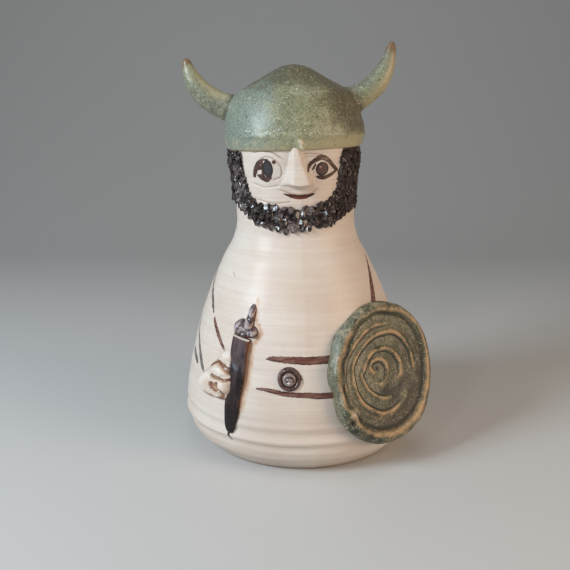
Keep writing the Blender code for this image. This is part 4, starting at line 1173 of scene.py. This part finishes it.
def shapeGuard(points):
    s, t = points[:, 0] + 0.5, points[:, 1] + 0.5
    first, last = swordValues["guardTop"][0][0], swordValues["guardTop"][-1][0]
    azimuth = first + (last - first) * s
    low, high = smoothCurve(swordValues["guardLow"], azimuth), smoothCurve(swordValues["guardTop"], azimuth)
    z = low + (high - low) * t
    perDegree = math.radians(1.0) * swordValues["guardRadius"]
    edge = np.clip(np.minimum(np.minimum(s, 1.0 - s) * 9.0, np.minimum(t, 1.0 - t) * 6.0), 0.0, 1.0) ** 0.5
    height = np.full(len(s), 1.5)
    lump = np.zeros(len(s))
    for at, level, size, tall in swordValues["guardLumps"]:
        gap = np.hypot((azimuth - at) * perDegree, z - level) / size
        height = np.maximum(height, tall * np.sqrt(np.clip(1.0 - gap ** 2, 0.0, 1.0)))
        lump = np.maximum(lump, np.clip(1.0 - gap ** 2, 0.0, 1.0))
    height = height * edge + 0.35 * grain(np.column_stack([azimuth, z, 0 * z]), 1.9, 6.0) * edge
    out = rooted(points[:, 2], height - 0.35)
    streak = np.sin(1.5 * azimuth - 1.1 * z)
    shine = (0.45 + 0.55 * fade(streak, -0.6, 0.5)) * fade(t, 0.12, 0.35)
    fields = {
        "rust": 0.95 * fade(t, 0.26, 0.06) + 0.55 * fade(lump, 0.5, 0.1) + 0.4 * fade(streak, 0.2, -0.9),
        "pale": (0.25 + 0.75 * fade(lump, 0.3, 0.9)) * shine,
        "upper": np.ones(len(z)),
        **dict.fromkeys(("blue", "wall", "bare"), np.zeros(len(z))),
    }
    return onWall(azimuth, z, out), fields


def shapeGrip(points):
    values = swordValues["grip"]
    across, t = 2.0 * points[:, 0], points[:, 1] + 0.5
    rounded = np.sqrt(np.clip(1.0 - np.clip((t - 0.72) / 0.28, 0.0, 1.0) ** 2, 0.0, 1.0))
    half = values["halfWidth"] * (1.0 - 0.30 * t) * np.maximum(rounded, 0.12)
    perDegree = degreeAt(values["low"])
    azimuth = values["azimuth"] + values["lean"] * t + across * half / perDegree
    z = values["low"] + values["height"] * t
    pinch = 1.0 + 0.20 * np.sin(12.0 * t + 2.0 * across)
    dome = np.sqrt(np.clip(1.0 - across ** 2, 0.0, 1.0)) * np.maximum(rounded, 0.05)
    height = values["thickness"] * (1.0 - 0.45 * t) * dome * pinch
    out = rooted(points[:, 2], height - 0.35)
    side = np.clip(fade(across, 0.45, 0.95) + fade(-across, 0.65, 1.0), 0.0, 1.0)
    fields = {
        "rust": 0.85 * side,
        # pale down the grip's middle: painted highlight
        "pale": (1.0 - side) * (0.62 + 0.38 * np.sin(12.0 * t + 2.0 * across)),
        "upper": np.ones(len(z)),
        **dict.fromkeys(("blue", "wall", "bare"), np.zeros(len(z))),
    }
    return onWall(azimuth, z, out), fields


def makeSword():
    blade = claySlab(*swordValues["bladeSteps"])
    finishPiece("sword_blade", blade, swordFinish("bladeGlaze", 0.10), shapeBlade, 50.0)
    hilt = swordFinish("hiltGlaze", 0.9)
    finishPiece("sword_guard", claySlab(*swordValues["guardSteps"]), hilt, shapeGuard)
    finishPiece("sword_grip", claySlab(*swordValues["gripSteps"]), hilt, shapeGrip)


# Hand
handValues = {
    "left": [(34.9, -41.0), (35.9, -46.2), (37.7, -51.0), (40.2, -54.6), (42.8, -55.4), (46.3, -53.0),
             (50.1, -49.4), (53.6, -47.0), (57.0, -43.4), (60.6, -39.0)],
    "right": [(34.9, -39.4), (36.2, -36.6), (37.9, -34.0), (42.2, -32.6), (48.0, -32.6), (56.0, -33.2),
              (60.6, -35.4)],
    "steps": (96, 116),
    "wallRadius": 57.0,      # at the hand
    "rolls": [               # azimuth, height, size across and up, how far it stands out
        (-45.5, 43.4, 12.0, 7.2, 6.6), (-40.5, 50.4, 8.2, 4.0, 6.2), (-36.4, 44.4, 5.6, 5.4, 6.4),
        (-38.6, 56.6, 7.5, 5.4, 3.6), (-40.5, 38.6, 6.5, 3.0, 5.0),
    ],
    "grooves": [             # where the strip's turns meet: azimuth, height and half width
        [(-45.6, 51.6, 0.15), (-44.2, 53.2, 0.3), (-41.4, 54.2, 0.35), (-39.0, 53.3, 0.3),
         (-36.8, 51.8, 0.35), (-34.4, 50.5, 0.6), (-32.0, 49.1, 0.7)],
        [(-43.2, 47.5, 0.45), (-40.8, 47.1, 0.4), (-37.8, 46.8, 0.3), (-34.7, 46.7, 0.3), (-32.4, 47.3, 0.5)],
        [(-38.4, 53.6, 0.1), (-36.3, 52.6, 0.35), (-34.0, 51.8, 0.4), (-32.5, 51.4, 0.2)],
    ],
    "recess": [(-42.6, 43.9, 0.9), (-41.2, 42.8, 1.7), (-39.6, 41.6, 1.4), (-39.2, 44.4, 0.8)],
    "under": [(-46.6, 38.2, 0.3), (-43.6, 37.0, 0.8), (-40.0, 36.5, 1.0), (-37.2, 37.2, 0.9),
              (-36.0, 39.2, 0.6), (-36.6, 41.6, 0.45), (-38.4, 42.2, 0.3)],
    "outline": [(-47.2, 53.8, 0.2), (-45.0, 55.8, 0.35), (-42.1, 58.4, 0.25), (-39.8, 60.0, 0.1)],
}


def handFinish():
    material, tree, shader = newFinish("handSlip", 0.4, 0.2, 0.2)
    patches = mottle(tree, 6.0, 4.0)
    fine = mottle(tree, 0.9, 3.0, shift=3.0)
    tone = blend(tree, ranged(tree, patches, 0.35, 0.65), (0.60, 0.49, 0.40), (0.70, 0.625, 0.55))
    tone = overlay(tree, tone, fine, 0.58, 0.76, 0.4, (0.42, 0.33, 0.25))
    wash = calc(tree, "ADD", field(tree, "wash"), ranged(tree, fine, 0.3, 0.7, -0.2, 0.2))
    tone = overlay(tree, tone, wash, 0.15, 0.70, 0.8, (0.34, 0.150, 0.065))
    tone = overlay(tree, tone, wash, 0.75, 1.05, 0.8, (0.130, 0.050, 0.024))
    normal = bumped(tree, patches, 0.4, 0.5)
    normal = bumped(tree, fine, 0.08, 0.6, normal)
    wire(tree, shader, tone, ranged(tree, patches, 0.3, 0.7, 0.34, 0.48), normal)
    return material


def shapeHand(points):
    s, t = points[:, 0] + 0.5, points[:, 1] + 0.5
    low, high = handValues["left"][0][0], handValues["left"][-1][0]
    z = low + (high - low) * t
    left, right = smoothCurve(handValues["left"], z), smoothCurve(handValues["right"], z)
    azimuth = left + (right - left) * s
    perDegree = math.radians(1.0) * handValues["wallRadius"]
    edge = np.clip(np.minimum(np.minimum(s, 1.0 - s) * 5.0, np.minimum(t, 1.0 - t) * 8.0), 0.0, 1.0)
    edge = np.sqrt(1.0 - (1.0 - edge) ** 2)
    height = np.full(len(s), 1.6)
    for at, level, wide, tall, stands in handValues["rolls"]:
        gap = ((azimuth - at) * perDegree / wide) ** 2 + ((z - level) / tall) ** 2
        height = np.maximum(height, stands * np.clip(1.0 - gap * 0.75, 0.0, 1.0) ** 0.5)
    height = height + 0.45 * grain(np.column_stack([azimuth * 0.9, z, 0 * z]), 4.0)
    grooves = np.maximum(nearestOf(azimuth, z, handValues["grooves"]), 0.0)
    recess = strokeOnWall(azimuth, z, handValues["recess"])
    under = strokeOnWall(azimuth, z, handValues["under"])
    outline = np.maximum(strokeOnWall(azimuth, z, handValues["outline"]), 0.0)
    carved = 1.9 * bell(grooves, 0.45) + 2.2 * fade(recess, 0.6, -0.9) + 1.0 * fade(under, 0.9, -0.6)
    height = np.maximum(height - carved - 0.6 * bell(outline, 0.5), 0.5)
    out = rooted(points[:, 2], edge * height - 0.4)
    wash = bell(grooves, 0.40) + 0.80 * fade(recess, 0.5, -0.6) + 0.25 * bell(recess, 0.5)
    wash += 0.95 * fade(under, 0.5, -0.4) + 0.95 * bell(outline, 0.4)
    return onWall(azimuth, z, out), {"wash": np.clip(wash, 0.0, 1.3)}


def makeHand():
    finishPiece("hand", claySlab(*handValues["steps"]), handFinish(), shapeHand)


# Belt button
buttonValues = {
    "place": (-3.7, 50.1),
    "radius": 5.6,
    "steps": 72,
    "section": [             # share of the radius, how far it stands out
        (1.06, -0.5), (1.02, 0.45), (0.98, 0.95), (0.93, 1.30), (0.86, 1.50), (0.78, 1.48), (0.72, 1.25),
        (0.67, 0.85), (0.63, 0.62), (0.60, 0.75), (0.56, 1.25), (0.51, 1.60), (0.44, 1.85), (0.36, 2.00),
        (0.27, 2.10), (0.18, 2.16), (0.09, 2.18), (0.0, 2.18),
    ],
}


def buttonFinish():
    material, tree, shader = newFinish("buttonGlaze", 0.4, 0.35, 0.14)
    patches = mottle(tree, 2.6, 4.0)
    fine = mottle(tree, 0.7, 3.0, shift=3.0)
    tone = blend(tree, ranged(tree, patches, 0.38, 0.64), (0.040, 0.018, 0.014), (0.105, 0.056, 0.048))
    tone = overlay(tree, tone, field(tree, "pale"), 0.2, 0.9, 0.85, (0.36, 0.290, 0.280))
    tone = overlay(tree, tone, fine, 0.56, 0.74, 0.5, (0.16, 0.075, 0.055))
    tone = overlay(tree, tone, field(tree, "groove"), 0.2, 0.8, 0.85, (0.050, 0.022, 0.018))
    # a painted white glint low on the domed disc
    tone = overlay(tree, tone, field(tree, "paintedGlint"), 0.3, 0.8, 0.9, (0.75, 0.68, 0.66))
    normal = bumped(tree, patches, 0.2, 0.5)
    normal = bumped(tree, fine, 0.06, 0.6, normal)
    wire(tree, shader, tone, ranged(tree, patches, 0.3, 0.7, 0.24, 0.38), normal)
    return material


def shapeButton(points):
    x, y, out = points.T
    radius = np.hypot(x, y) / buttonValues["radius"]
    curl = np.hypot(x - 0.5, y + 0.5) - 1.7 - 0.10 * np.arctan2(y, x)
    pressed = bell(curl, 0.38) * (y > -1.2) * (out > 0)
    wobble = 0.22 * grain(points, 1.3) * (out > 0)
    azimuth, z = buttonValues["place"]
    perDegree = degreeAt(z)
    shaped = onWall(azimuth + x / perDegree, z + y, out - 0.35 * pressed + wobble)
    groove = bell(radius - 0.635, 0.07) * (out > 0)
    # painted glint
    paintedGlint = bell(np.hypot(x + 0.1, (y + 1.3) * 1.4), 0.8) * (out > 0)
    return shaped, {"pale": (radius < 0.58) * (0.62 - 0.6 * pressed), "groove": groove, "paintedGlint": paintedGlint}


def makeButton():
    section = [(0.0, -2.2), (1.06, -2.2)] + buttonValues["section"]
    profile = [(share * buttonValues["radius"], out) for share, out in section]
    bm = turned(profile, buttonValues["steps"], start=(1.0, 0.0))
    rings = [edge for edge in bm.edges if edge.verts[0].co.z > -1 and edge.verts[1].co.z > -1]
    bmesh.ops.subdivide_edges(bm, edges=rings, cuts=1, use_grid_fill=True)
    finishPiece("belt_button", bm, buttonFinish(), shapeButton)


makeCamera()
makeLights()
makeFloor()
print("camera, lights and floor")
makeBody()
makeHelmet()
makeHair()
makeShield()
makeSword()
makeHand()
makeButton()
print("clay and glazes")
